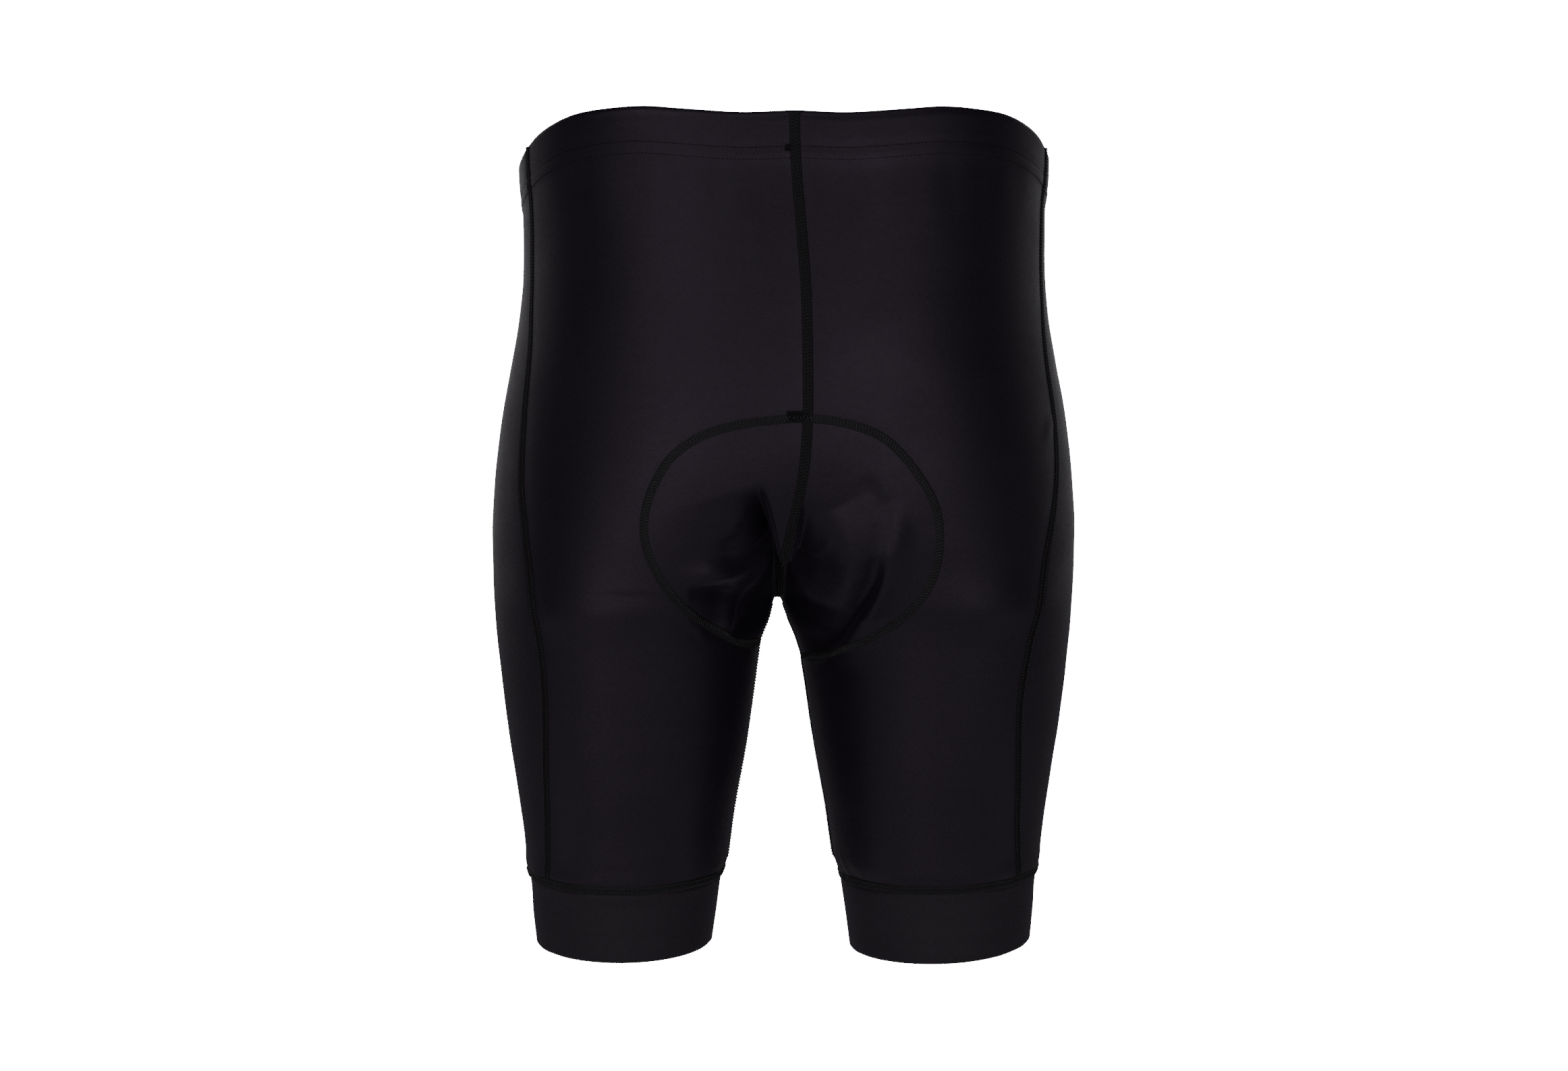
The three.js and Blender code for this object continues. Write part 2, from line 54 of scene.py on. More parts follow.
log = logging.getLogger("shorts")


class Side(Enum):
    """The wearer's left or right half, by the sign of X."""

    LEFT = 1
    RIGHT = -1

    @property
    def word(self) -> str:
        """Return the side's name as the pieces use it."""
        return self.name.lower()


class Face(Enum):
    """The back or the front of the garment, by the sign of Y."""

    BACK = 1
    FRONT = -1

    @property
    def word(self) -> str:
        """Return the face's name as the pieces use it."""
        return self.name.lower()


class SmoothTable:
    """Rows of named columns, read smoothly between them by the first column."""

    def __init__(self, columns: tuple[str, ...], rows: tuple[tuple[float, ...], ...]) -> None:
        """Sort the rows and work out the slope at each.

        Args:
            columns: Name of each column, the first being the one the table is read by.
            rows: The table's rows, in either order.
        """
        self.columns = columns
        self.rows = np.array(sorted(rows), dtype=float)
        low = np.maximum(np.arange(len(rows)) - 1, 0)
        high = np.minimum(np.arange(len(rows)) + 1, len(rows) - 1)
        run = self.rows[high, :1] - self.rows[low, :1]
        self.slopes = (self.rows[high] - self.rows[low]) / run

    def read(self, at: Array) -> Section:
        """Read every column at each place.

        Args:
            at: Values of the first column.

        Returns:
            An array for each column's name.
        """
        keys = self.rows[:, 0]
        key = np.clip(at, keys[0], keys[-1])
        i = np.clip(np.searchsorted(keys, key, side="right") - 1, 0, len(keys) - 2)
        span = keys[i + 1] - keys[i]
        u = (key - keys[i]) / span
        low, high = 2 * u**3 - 3 * u**2 + 1, 3 * u**2 - 2 * u**3
        low_slope, high_slope = (u**3 - 2 * u**2 + u) * span, (u**3 - u**2) * span
        return {
            name: low * self.rows[i, c] + high * self.rows[i + 1, c]
            + low_slope * self.slopes[i, c] + high_slope * self.slopes[i + 1, c]
            for c, name in enumerate(self.columns)
        }


# The form by level: the trunk's half width, the gap from the middle to a leg's inner face, the depth to
# the back and to the front, how square the trunk's oval is, how far it has parted into legs, and the
# middle line's X.
SECTIONS = SmoothTable(
    ("z", "wide", "gap", "back", "front", "square", "split", "middle"),
    (
        (40, 157.0, 0, 112.5, 106.5, 2.25, 0, 2),
        (0, 156.8, 0, 115, 108.5, 2.25, 0, 2),
        (-20, 156.6, 0, 116, 109, 2.25, 0, 1),
        (-45, 155.2, 0, 119, 110, 2.25, 0, -1),
        (-80, 155.7, 0, 123, 111, 2.25, 0, -3.5),
        (-105, 158.2, 0, 125.5, 111.5, 2.25, 0, -4.2),
        (-130, 162.5, 0, 127, 111.5, 2.25, 0.005, -4.5),
        (-155, 167.6, 0, 127.5, 111, 2.22, 0.02, -4.4),
        (-180, 171.7, 0, 126.5, 110, 2.2, 0.06, -2.8),
        (-203, 174.3, 0.5, 124, 108, 2.2, 0.13, 0.5),
        (-227, 176.1, 1.5, 119, 105, 2.2, 0.28, 5),
        (-245, 176.4, 3.5, 113.5, 102, 2.2, 0.5, 7),
        (-260, 176.3, 5, 108, 99.5, 2.2, 0.82, 6),
        (-267, 176.1, 7, 105.7, 98.2, 2.2, 0.94, 5.3),
        (-273, 175.9, 9, 103.5, 97, 2.2, 1, 4.5),
        (-288, 175.1, 11.3, 99.5, 95, 2.2, 1, 3.5),
        (-301, 174.0, 14.4, 97, 93.5, 2.2, 1, 3.2),
        (-326, 171.7, 17.8, 92.5, 90, 2.2, 1, 2.6),
        (-351, 169.1, 20.8, 88, 86.5, 2.2, 1, 2.5),
        (-376, 165.6, 24.5, 83.5, 82.5, 2.2, 1, 2.5),
        (-402, 162.0, 29.1, 78.5, 78, 2.2, 1, 2.5),
        (-427, 159.2, 32.6, 74.3, 73.8, 2.2, 1, 2.4),
        (-436, 158.9, 34.0, 73, 72.5, 2.2, 1, 2.4),
        (-443, 157.4, 36.3, 70.8, 70, 2.2, 1, 2.4),
        (-448, 156.2, 37.7, 69, 68, 2.2, 1, 2.4),
        (-455, 155.5, 38.8, 67.8, 66.6, 2.2, 1, 2.4),
        (-470, 154.8, 40.9, 66, 64.5, 2.2, 1, 2.3),
        (-495, 152.6, 44.2, 63.6, 61.8, 2.2, 1, 2.3),
    ),
)

# The waist's edge by its angle round the body, from the front through the side to the back.
WAIST_EDGE = SmoothTable(
    ("angle", "height"),
    (
        (-90, -28), (-60, -28.5), (-35, -27), (-15, -23), (0, -16.5), (8, -10.5), (16, -2),
        (24, 6.5), (32, 13), (40, 16), (50, 17.5), (60, 16), (75, 14), (90, 15),
    ),
)

# The side seams' Y by level, and how much further forward the left one lies than halfway between them.
SIDE_SEAM = SmoothTable(
    ("z", "behind", "lean"),
    (
        (30, 38, 0), (-10, 39, 0), (-48, 41, 2), (-90, 45, 2), (-125, 54, 2), (-165, 58.5, 0),
        (-197, 63, 1), (-228, 70.5, 2), (-265, 77.5, 2.5), (-300, 77.5, 3.5), (-336, 73, 4.5),
        (-393, 59.5, 4.5), (-440, 48.5, 4), (-495, 41, 3),
    ),
)

# The pad's reach to each side of the centre seam, by the run along the seam from its back edge.
PAD_OUTLINE = SmoothTable(
    ("along", "left", "right"),
    (
        (0, 9, 9), (2.5, 28, 24), (7, 46, 40), (15, 62, 53), (25, 71.5, 65), (37, 78.5, 77.5),
        (54, 84, 85.5), (70, 86, 88), (80, 84, 87.5), (89, 78, 85.5), (99, 69.5, 82), (111, 58.5, 76),
        (127, 50, 65), (145, 45, 55), (180, 35, 46), (200, 35, 42), (225, 42, 43), (260, 48, 48),
        (300, 50, 50), (325, 46, 46), (342, 35, 35), (349, 22, 22), (352, 9, 9),
    ),
)
PAD_TABLE_LENGTH = 352.0


@dataclass(frozen=True)
class Fold:
    """A soft ridge or trough along an arc through three places, given by x and z.

    Its width is its reach to the left of the arc, as one walks from start to end with x to the right
    and z up, and its lip is its reach to the right, the same unless it is given. A ridge is round on
    top, and the cloth to a trough's left steepens all the way down to its bottom.
    """

    face: Face
    start: tuple[float, float]
    middle: tuple[float, float]
    end: tuple[float, float]
    width: float
    height: float
    lip: float = 0.0
    fade: ClassVar[tuple[float, float]] = (12.0, 45.0)
    end_share: ClassVar[float] = 0.03
    end_power: ClassVar[float] = 0.85
    trough_round: ClassVar[float] = 2.0

    def path(self, steps: int = 24) -> Array:
        """Return the arc's points as rows of x and z."""
        t = np.linspace(0, 1, steps + 1)[:, None]
        start, middle, end = (np.array(place) for place in (self.start, self.middle, self.end))
        control = 2 * middle - (start + end) / 2
        return (1 - t) ** 2 * start + 2 * t * (1 - t) * control + t**2 * end

    def lift(self, points: Array) -> Array:
        """Work out how far the fold lifts the cloth.

        Args:
            points: Points on the form.

        Returns:
            The lift at each point, below zero in a trough.
        """
        on_face = smoothstep(self.face.value * points[:, 1], *self.fade)
        path = self.path()
        run = path[1:] - path[:-1]
        off = points[:, None, [0, 2]] - path[None, :-1]
        along = np.clip((off * run).sum(axis=2) / (run**2).sum(axis=1), 0, 1)
        gap = off - along[:, :, None] * run
        away = np.hypot(gap[:, :, 0], gap[:, :, 1])
        nearest = away.argmin(axis=1)
        rows = np.arange(len(points))
        left = run[nearest, 0] * gap[rows, nearest, 1] - run[nearest, 1] * gap[rows, nearest, 0] > 0
        reach = np.where(left, self.width, self.lip or self.width)
        share = (nearest + along[rows, nearest]) / len(run)
        ends = self.end_share + (1 - self.end_share) * np.sin(np.pi * share) ** self.end_power
        off = away[rows, nearest]
        profile = np.exp(-((off / reach) ** 2))
        if self.height < 0:
            steep = np.exp(-(np.hypot(off, self.trough_round) - self.trough_round) / reach)
            profile = np.where(left, steep, profile)
        return on_face * ends * self.height * profile


# The main folds. The solids have nearly all of them, in less depth.
MAIN_FOLDS = (
    Fold(Face.BACK, (23, -194), (15, -230), (7, -278), 13, -25, 2.6),
    Fold(Face.BACK, (40, -216), (36, -240), (16, -272), 14, -3.5),
    Fold(Face.BACK, (8, -240), (7, -266), (4, -304), 11, -15, 10),
    Fold(Face.BACK, (15, -262), (40, -248), (68, -249), 7, 4.6, 5),
    Fold(Face.BACK, (62, -258), (40, -262), (16, -277), 9, -6, 5),
    Fold(Face.BACK, (3, -284), (-2, -248), (-5, -202), 11, -13, 3),
    Fold(Face.BACK, (-24, -204), (-33, -242), (-25, -288), 14, 7.5),
    Fold(Face.BACK, (-45, -232), (-39, -266), (-8, -314), 12, -10.5, 4),
    Fold(Face.BACK, (-50, -204), (-50, -246), (-24, -305), 6, 6.2, 9),
    Fold(Face.FRONT, (14, -258), (44, -243), (84, -212), 9, -3.2),
    Fold(Face.FRONT, (20, -272), (52, -262), (90, -246), 8, 2.4),
    Fold(Face.FRONT, (-8, -262), (-40, -239), (-72, -214), 9, -3.4),
    Fold(Face.FRONT, (-16, -276), (-50, -260), (-96, -236), 8, 2.2),
)

# The small creases, which the solids leave out.
CREASES = (
    Fold(Face.BACK, (54, -226), (42, -224), (31, -220), 5, 1.4),
    Fold(Face.BACK, (50, -237), (40, -238), (26, -243), 3.5, -1.0),
    Fold(Face.BACK, (14, -266), (32, -270), (37, -288), 6, 5.2, 5),
    Fold(Face.BACK, (34, -288), (22, -283), (10, -277), 5, -4.5, 6),
    Fold(Face.BACK, (52, -280), (44, -285), (34, -293), 4, -0.9),
    Fold(Face.BACK, (-19, -222), (-15, -232), (-8, -240), 2.6, 1.1),
    Fold(Face.BACK, (-35, -188), (-42, -198), (-50, -214), 4, -0.9),
    Fold(Face.BACK, (-60, -226), (-63, -242), (-54, -262), 5, -0.8),
    Fold(Face.BACK, (71, -268), (64, -278), (50, -291), 3.2, -0.6),
    Fold(Face.BACK, (80, -270), (74, -282), (60, -296), 3, 0.45),
    Fold(Face.BACK, (92, -266), (84, -280), (70, -294), 3, -0.4),
    Fold(Face.BACK, (120, -257), (100, -257), (78, -258), 2.2, -0.45),
    Fold(Face.BACK, (140, -216), (118, -219), (96, -215), 2.6, -0.3),
    Fold(Face.BACK, (-154, -160), (-151, -166), (-148, -176), 3.2, 0.9),
    Fold(Face.FRONT, (6, -226), (20, -236), (34, -254), 5, -1.4),
    Fold(Face.FRONT, (0, -228), (-18, -240), (-30, -258), 5, -1.2),
    Fold(Face.FRONT, (62, -196), (92, -186), (126, -182), 6, -0.8),
    Fold(Face.FRONT, (-70, -194), (-100, -184), (-134, -184), 6, -0.9),
    Fold(Face.FRONT, (48, -284), (70, -282), (96, -272), 4, -0.8),
    Fold(Face.FRONT, (-44, -288), (-70, -280), (-92, -274), 4, -0.7),
)


def smoothstep(value: Array, low: float, high: float) -> Array:
    """Rise smoothly from 0 at low to 1 at high."""
    t = np.clip((value - low) / (high - low), 0, 1)
    return t * t * (3 - 2 * t)


def rounded_edge(inward: Array, radius: float) -> Array:
    """Return how far a cloth's face falls away towards its rounded edge.

    Args:
        inward: Distance in from the edge.
        radius: The edge's radius.

    Returns:
        The fall at each place, nearly the radius at the edge itself.
    """
    share = np.clip(1 - inward / radius, 0, 1)
    return radius * (1 - np.sqrt(1 - 0.98 * share**2))


def unit(vectors: Array) -> Array:
    """Scale each row to length one."""
    return vectors / np.linalg.norm(vectors, axis=-1, keepdims=True)


def crowded(count: int, crowd: float) -> Array:
    """Return fractions from 0 to 1 that crowd towards 0."""
    return (np.arange(count + 1) / count) ** crowd


@dataclass(frozen=True)
class BodyForm:
    """The garment's smooth outer form: a trunk that parts into two legs."""

    softness: float = 9.0
    middle_spread: float = 30.0
    fork: float = -245.0
    crotch: float = -273.0
    above_fork: float = 12.0
    below_crotch: float = 4.0
    stride: float = 4.0
    longest: float = 260.0
    halvings: int = 20
    crotch_halvings: int = 30
    slope_step: float = 0.05

    def value(self, x: Array, y: Array, section: Section) -> Array:
        """Tell inside from outside.

        Args:
            x: X of each point.
            y: Y of each point.
            section: The section table read at each point's level.

        Returns:
            Below 0 inside the garment, 0 on its outer face and above 0 outside.
        """
        depth = np.where(y > 0, section["back"], section["front"])
        square = section["square"]
        trunk = (np.abs(x / section["wide"]) ** square + np.abs(y / depth) ** square) ** (1 / square)
        off = x - section["middle"]
        outer = section["wide"] - section["middle"] * np.tanh(off / self.middle_spread)
        centre, half = (outer + section["gap"]) / 2, (outer - section["gap"]) / 2
        leg = np.hypot((np.hypot(off, self.softness) - centre) / half, y / depth)
        split = np.clip(section["split"], 0, 1)
        return (1 - split) * trunk + split * leg - 1

    def slope(self, points: Array) -> Array:
        """Return the form's gradient at each point."""
        h = self.slope_step
        x, y, z = points.T
        level = SECTIONS.read(z)
        above, below = SECTIONS.read(z + h), SECTIONS.read(z - h)
        return np.stack([
            self.value(x + h, y, level) - self.value(x - h, y, level),
            self.value(x, y + h, level) - self.value(x, y - h, level),
            self.value(x, y, above) - self.value(x, y, below),
        ], axis=1) / (2 * h)

    def outward(self, points: Array) -> Array:
        """Return the direction straight out of the form at each point."""
        return unit(self.slope(points))

    def settle(self, points: Array, rounds: int = 3) -> Array:
        """Return the points moved onto the form."""
        for _ in range(rounds):
            push = self.slope(points)
            off = self.value(points[:, 0], points[:, 1], SECTIONS.read(points[:, 2]))
            points = points - push * (off / (push**2).sum(axis=1))[:, None]
        return points

    def reach(self, start_x: Array, start_y: Array, along_x: Array, along_y: Array, z: Array,
              side: int = 0) -> Array:
        """Find where level lines from inside the garment meet the form.

        Args:
            start_x: X where each line starts.
            start_y: Y where each line starts.
            along_x: X of each line's direction.
            along_y: Y of each line's direction.
            z: Level of each line.
            side: 1 or -1 where lines stop at the garment's middle line, coming from that side.

        Returns:
            One point a row.
        """
        start_x, start_y, along_x, along_y, z = np.broadcast_arrays(
            *(np.asarray(v, dtype=float) for v in (start_x, start_y, along_x, along_y, z)))
        section = SECTIONS.read(z)

        def is_out(far: Array | float) -> Array:
            """Tell whether each line has left the garment, or its side, at a distance."""
            x, y = start_x + far * along_x, start_y + far * along_y
            return (self.value(x, y, section) >= 0) | (side * (x - section["middle"]) < 0)

        near = np.zeros(z.shape)
        met = np.zeros(z.shape, dtype=bool)
        for far in np.arange(self.stride, self.longest, self.stride):
            outside = is_out(far)
            near = np.where(~met & ~outside, far, near)
            met |= outside
            if met.all():
                break
        far = near + self.stride
        for _ in range(self.halvings):
            half = (near + far) / 2
            outside = is_out(half)
            near, far = np.where(outside, near, half), np.where(outside, half, far)
        return np.stack([start_x + near * along_x, start_y + near * along_y, z], axis=-1)

    def leg_centre(self, side: Side, z: Array) -> Array:
        """Return X of one leg's own middle line."""
        section = SECTIONS.read(z)
        outer = section["wide"] - side.value * section["middle"]
        return section["middle"] + side.value * (outer + section["gap"]) / 2

    def trunk_point(self, side: Side, angle: Array, z: Array) -> Array:
        """Return points of the trunk by their angle round the garment's middle line."""
        turn = np.radians(angle)
        return self.reach(SECTIONS.read(z)["middle"], 0, side.value * np.cos(turn), np.sin(turn), z)

    def leg_point(self, side: Side, angle: Array, z: Array) -> Array:
        """Return points of one leg by their angle round that leg's middle line."""
        turn = np.radians(angle)
        centre = self.leg_centre(side, z)
        return self.reach(centre, 0, side.value * np.cos(turn), np.sin(turn), z, side.value)

    def crotch_point(self, y: Array) -> Array:
        """Return points of the crotch seam's lowest stretch by their Y."""
        high = np.full(np.shape(y), self.fork + self.above_fork)
        low = np.full(np.shape(y), self.crotch - self.below_crotch)
        for _ in range(self.crotch_halvings):
            half = (high + low) / 2
            section = SECTIONS.read(half)
            inside = self.value(section["middle"], y, section) < 0
            high, low = np.where(inside, half, high), np.where(inside, low, half)
        return np.stack([SECTIONS.read(high)["middle"], y, high], axis=-1)

    def side_seam_point(self, side: Side, z: Array) -> Array:
        """Return points of one side seam by their level."""
        seam = SIDE_SEAM.read(z)
        behind = seam["behind"] - side.value * seam["lean"]
        return self.reach(self.leg_centre(side, z), behind, side.value, 0, z)


FORM = BodyForm()


def body_turns(turn: Array) -> tuple[Array, Array]:
    """Return the angle and side of places round the body, as the waist's table takes them.

    Args:
        turn: Degrees round the body, from 0 to 360.

    Returns:
        The angle from -90 at the front to 90 at the back, and 1 or -1 for the left or right half.
    """
    side = np.where((turn > 90) & (turn < 270), -1, 1)
    angle = np.degrees(np.arcsin(np.clip(np.sin(np.radians(turn)), -1, 1)))
    return angle, side


@dataclass(frozen=True)
class Levels:
    """Levels of the seams and edges that aren't in the tables, the right leg hanging lower."""

    cuff_seam: float = -446.0
    cuff_seam_rise: float = 5.0
    hem: float = -489.0
    hem_rise: float = 4.0
    right_drop: float = 1.2
    right_inner_drop: float = 4.6
    hem_drop_share: float = 1.3

    def drop(self, side: Side, angle: Array) -> Array:
        """Return how much lower the right leg hangs, most at its inner side."""
        inner = (1 - np.cos(np.radians(angle))) / 2
        return (side is Side.RIGHT) * (self.right_drop + self.right_inner_drop * inner)

    def cuff_seam_at(self, side: Side, angle: Array) -> Array:
        """Return the cuff seam's level at an angle round one leg."""
        return self.cuff_seam + self.cuff_seam_rise * np.sin(np.radians(angle)) - self.drop(side, angle)

    def hem_at(self, side: Side, angle: Array) -> Array:
        """Return the hem's level at an angle round one leg."""
        level = self.hem + self.hem_rise * np.sin(np.radians(angle))
        return level - self.hem_drop_share * self.drop(side, angle)


LEVELS = Levels()


class SeamAngles:
    """The side seam's angle round the trunk and round its own leg, at any level."""

    lowest: float = -497.0
    highest: float = 40.0
    step: float = 1.5

    def __init__(self, side: Side) -> None:
        """Trace one side's seam from hem to waist.

        Args:
            side: The side whose seam is traced.
        """
        self.levels = np.arange(self.lowest, self.highest, self.step)
        x, y, _ = FORM.side_seam_point(side, self.levels).T
        middle = SECTIONS.read(self.levels)["middle"]
        centre = FORM.leg_centre(side, self.levels)
        self.trunk = np.degrees(np.arctan2(y, side.value * (x - middle)))
        self.leg = np.degrees(np.arctan2(y, side.value * (x - centre)))

    def on_trunk(self, z: Array) -> Array:
        """Return the seam's angle round the trunk."""
        return np.interp(z, self.levels, self.trunk)

    def on_leg(self, z: Array) -> Array:
        """Return the seam's angle round the leg."""
        return np.interp(z, self.levels, self.leg)


SEAM_ANGLES = {side: SeamAngles(side) for side in Side}


def centre_line(top_back: float, top_front: float, step: float = 1.0, turn: float = -262.0) -> Array:
    """Trace the centre seam from a level at the back, under the crotch, to a level at the front.

    Args:
        top_back: Level where the line starts at the back.
        top_front: Level where it ends at the front.
        step: Spacing of its points.
        turn: Level below which the line is traced by Y and not by level.

    Returns:
        One point a row.
    """
    back = FORM.trunk_point(Side.LEFT, 90.0, np.arange(top_back, turn, -step))
    front = FORM.trunk_point(Side.LEFT, -90.0, np.arange(turn, top_front + 1e-6, step))
    under = FORM.crotch_point(np.arange(back[-1, 1], front[0, 1], -step)[1:])
    return even(np.concatenate([back, under, front]), step)


def run_of(line: Array) -> Array:
    """Return the distance along a line at each of its points."""
    return np.concatenate([[0], np.cumsum(np.linalg.norm(np.diff(line, axis=0), axis=1))])


def closed_rings(points: Array, columns: int) -> list[Array]:
    """Return each row of a grid as a closed line."""
    rings = points.reshape(-1, columns, 3)
    return [np.concatenate([ring, ring[:1]]) for ring in rings]


def even(line: Array, step: float) -> Array:
    """Return the line's points spaced evenly, about a step apart."""
    along = run_of(line)
    at = np.linspace(0, along[-1], max(2, round(along[-1] / step) + 1))
    return np.stack([np.interp(at, along, column) for column in line.T], axis=1)


class PadMap:
    """The pad's outline laid over the form, by the run along the centre seam and sideways from it."""

    top_back: float = -153.0
    top_front: float = -176.0
    apron: float = 16.0
    reach: float = 110.0
    walk_step: float = 3.0
    nearby: float = 8.0
    highest: float = -133.0
    lowest: float = -345.0
    widest: float = 120.0
    batch: int = 4000

    def __init__(self, stations: int = 92, across: int = 56) -> None:
        """Walk sideways over the form from the centre seam, and lay the outline on that grid.

        Args:
            stations: Steps along the centre seam.
            across: Steps from the grid's right edge to its left edge.
        """
        line = centre_line(self.top_back + self.apron, self.top_front + self.apron)
        run = run_of(line) - self.apron
        self.length = run[-1] - self.apron
        self.along = np.linspace(-self.apron, self.length + self.apron, stations + 1)
        self.sideways = np.linspace(-self.reach, self.reach, across + 1)
        start = np.stack([np.interp(self.along, run, column) for column in line.T], axis=1)
        self.points = self.walk(start)
        self.ahead = np.gradient(self.points, self.along, axis=0)
        self.aside = np.gradient(self.points, self.sideways, axis=1)
        self.tree = KDTree(len(self.along) * len(self.sideways))
        for i, point in enumerate(self.points.reshape(-1, 3)):
            self.tree.insert(point, i)
        self.tree.balance()
        self.edge = self.flat_outline()

    def walk(self, start: Array) -> Array:
        """Walk straight sideways over the form from every station.

        Args:
            start: Points of the centre seam.

        Returns:
            Points by station and distance sideways.
        """
        start = FORM.settle(start)
        heading = unit(np.gradient(start, axis=0))
        left = unit(np.cross(heading, FORM.outward(start)))
        count = len(self.sideways)
        points = np.repeat(start, count, axis=0)
        distance = np.tile(np.abs(self.sideways), len(start))[:, None]
        ahead = np.repeat(left, count, axis=0) * np.tile(np.sign(self.sideways), len(start))[:, None]
        steps = math.ceil(self.reach / self.walk_step)
        for _ in range(steps):
            points = FORM.settle(points + ahead * distance / steps, 2)
            normals = FORM.outward(points)
            ahead = ahead - normals * (ahead * normals).sum(axis=1, keepdims=True)
            ahead /= np.maximum(np.linalg.norm(ahead, axis=1, keepdims=True), 1e-9)
        return points.reshape(len(start), count, 3)

    def halves(self, along: Array) -> tuple[Array, Array]:
        """Return how far the pad reaches to its left and to its right of the seam."""
        table = PAD_OUTLINE.read(along * PAD_TABLE_LENGTH / self.length)
        return table["left"], table["right"]

    def flat_outline(self, steps: int = 150, spacing: float = 2.0, rounds: int = 10) -> Array:
        """Return the outline as a closed line of run and sideways distance, its corners softened."""
        along = self.length * (1 - np.cos(np.pi * np.linspace(0, 1, steps))) / 2
        left, right = self.halves(along)
        loop = np.concatenate([np.stack([along, left], axis=1), np.stack([along, -right], axis=1)[::-1]])
        ring = even(np.concatenate([loop, loop[:1]]), spacing)[:-1]
        for _ in range(rounds):
            ring = (np.roll(ring, 1, axis=0) + 2 * ring + np.roll(ring, -1, axis=0)) / 4
        return np.concatenate([ring, ring[:1]])

    def margin(self, flat: Array) -> Array:
        """Tell how far inside the outline places are.

        Args:
            flat: Run and sideways distance of each place.

        Returns:
            The distance to the outline, below zero outside it.
        """
        start, end = self.edge[:-1], self.edge[1:]
        side = end - start
        out = np.empty(len(flat))
        for first in range(0, len(flat), self.batch):
            part = flat[first : first + self.batch, None, :]
            share = np.clip(((part - start) * side).sum(axis=2) / (side**2).sum(axis=1), 0, 1)
            away = np.linalg.norm(part - start - share[:, :, None] * side, axis=2).min(axis=1)
            low, high = start[:, 0] > part[:, :, 0], end[:, 0] > part[:, :, 0]
            run = np.where(side[:, 0] == 0, 1, side[:, 0])
            crossing = start[:, 1] + (part[:, :, 0] - start[:, 0]) / run * side[:, 1]
            inside = ((low != high) & (part[:, :, 1] < crossing)).sum(axis=1) % 2
            out[first : first + self.batch] = np.where(inside == 1, away, -away)
        return out

    def margin_at(self, points: Array) -> Array:
        """Return how far inside the pad's outline points on the form are, below zero outside it."""
        out = np.full(len(points), -self.apron)
        x, _, z = points.T
        near = (z < self.highest) & (z > self.lowest) & (np.abs(x) < self.widest)
        chosen, nodes = [], []
        for i in np.flatnonzero(near):
            _, node, away = self.tree.find(points[i])
            if away < self.nearby:
                chosen.append(i)
                nodes.append(node)
        chosen, nodes = np.array(chosen, dtype=int), np.array(nodes, dtype=int)
        if len(chosen) == 0:
            return out
        row, column = np.divmod(nodes, len(self.sideways))
        off = points[chosen] - self.points[row, column]
        ahead, aside = self.ahead[row, column], self.aside[row, column]
        aa, bb = (ahead**2).sum(axis=1), (aside**2).sum(axis=1)
        ab = (ahead * aside).sum(axis=1)
        oa, ob = (off * ahead).sum(axis=1), (off * aside).sum(axis=1)
        scale = np.maximum(aa * bb - ab**2, 1e-6)
        run = self.along[row] + (oa * bb - ob * ab) / scale
        sideways = self.sideways[column] + (ob * aa - oa * ab) / scale
        out[chosen] = np.maximum(self.margin(np.stack([run, sideways], axis=1)), -self.apron)
        return out

    def place(self, run: Array, sideways: Array) -> Array:
        """Return points on the form by their run along the seam and sideways distance."""
        row = (run - self.along[0]) / (self.along[1] - self.along[0])
        column = (sideways - self.sideways[0]) / (self.sideways[1] - self.sideways[0])
        i = np.clip(row.astype(int), 0, len(self.along) - 2)
        j = np.clip(column.astype(int), 0, len(self.sideways) - 2)
        u, v = (row - i)[:, None], (column - j)[:, None]
        low = self.points[i, j] * (1 - v) + self.points[i, j + 1] * v
        high = self.points[i + 1, j] * (1 - v) + self.points[i + 1, j + 1] * v
        return FORM.settle(low * (1 - u) + high * u)

    def outline(self, inset: float) -> Array:
        """Return the pad's outline on the form as a closed line, set in by a distance."""
        ring = self.edge[:-1]
        heading = np.roll(ring, -1, axis=0) - np.roll(ring, 1, axis=0)
        heading /= np.linalg.norm(heading, axis=1, keepdims=True)
        moved = ring + inset * np.stack([heading[:, 1], -heading[:, 0]], axis=1)
        loop = self.place(moved[:, 0], moved[:, 1])
        return np.concatenate([loop, loop[:1]])


PAD_MAP = PadMap()


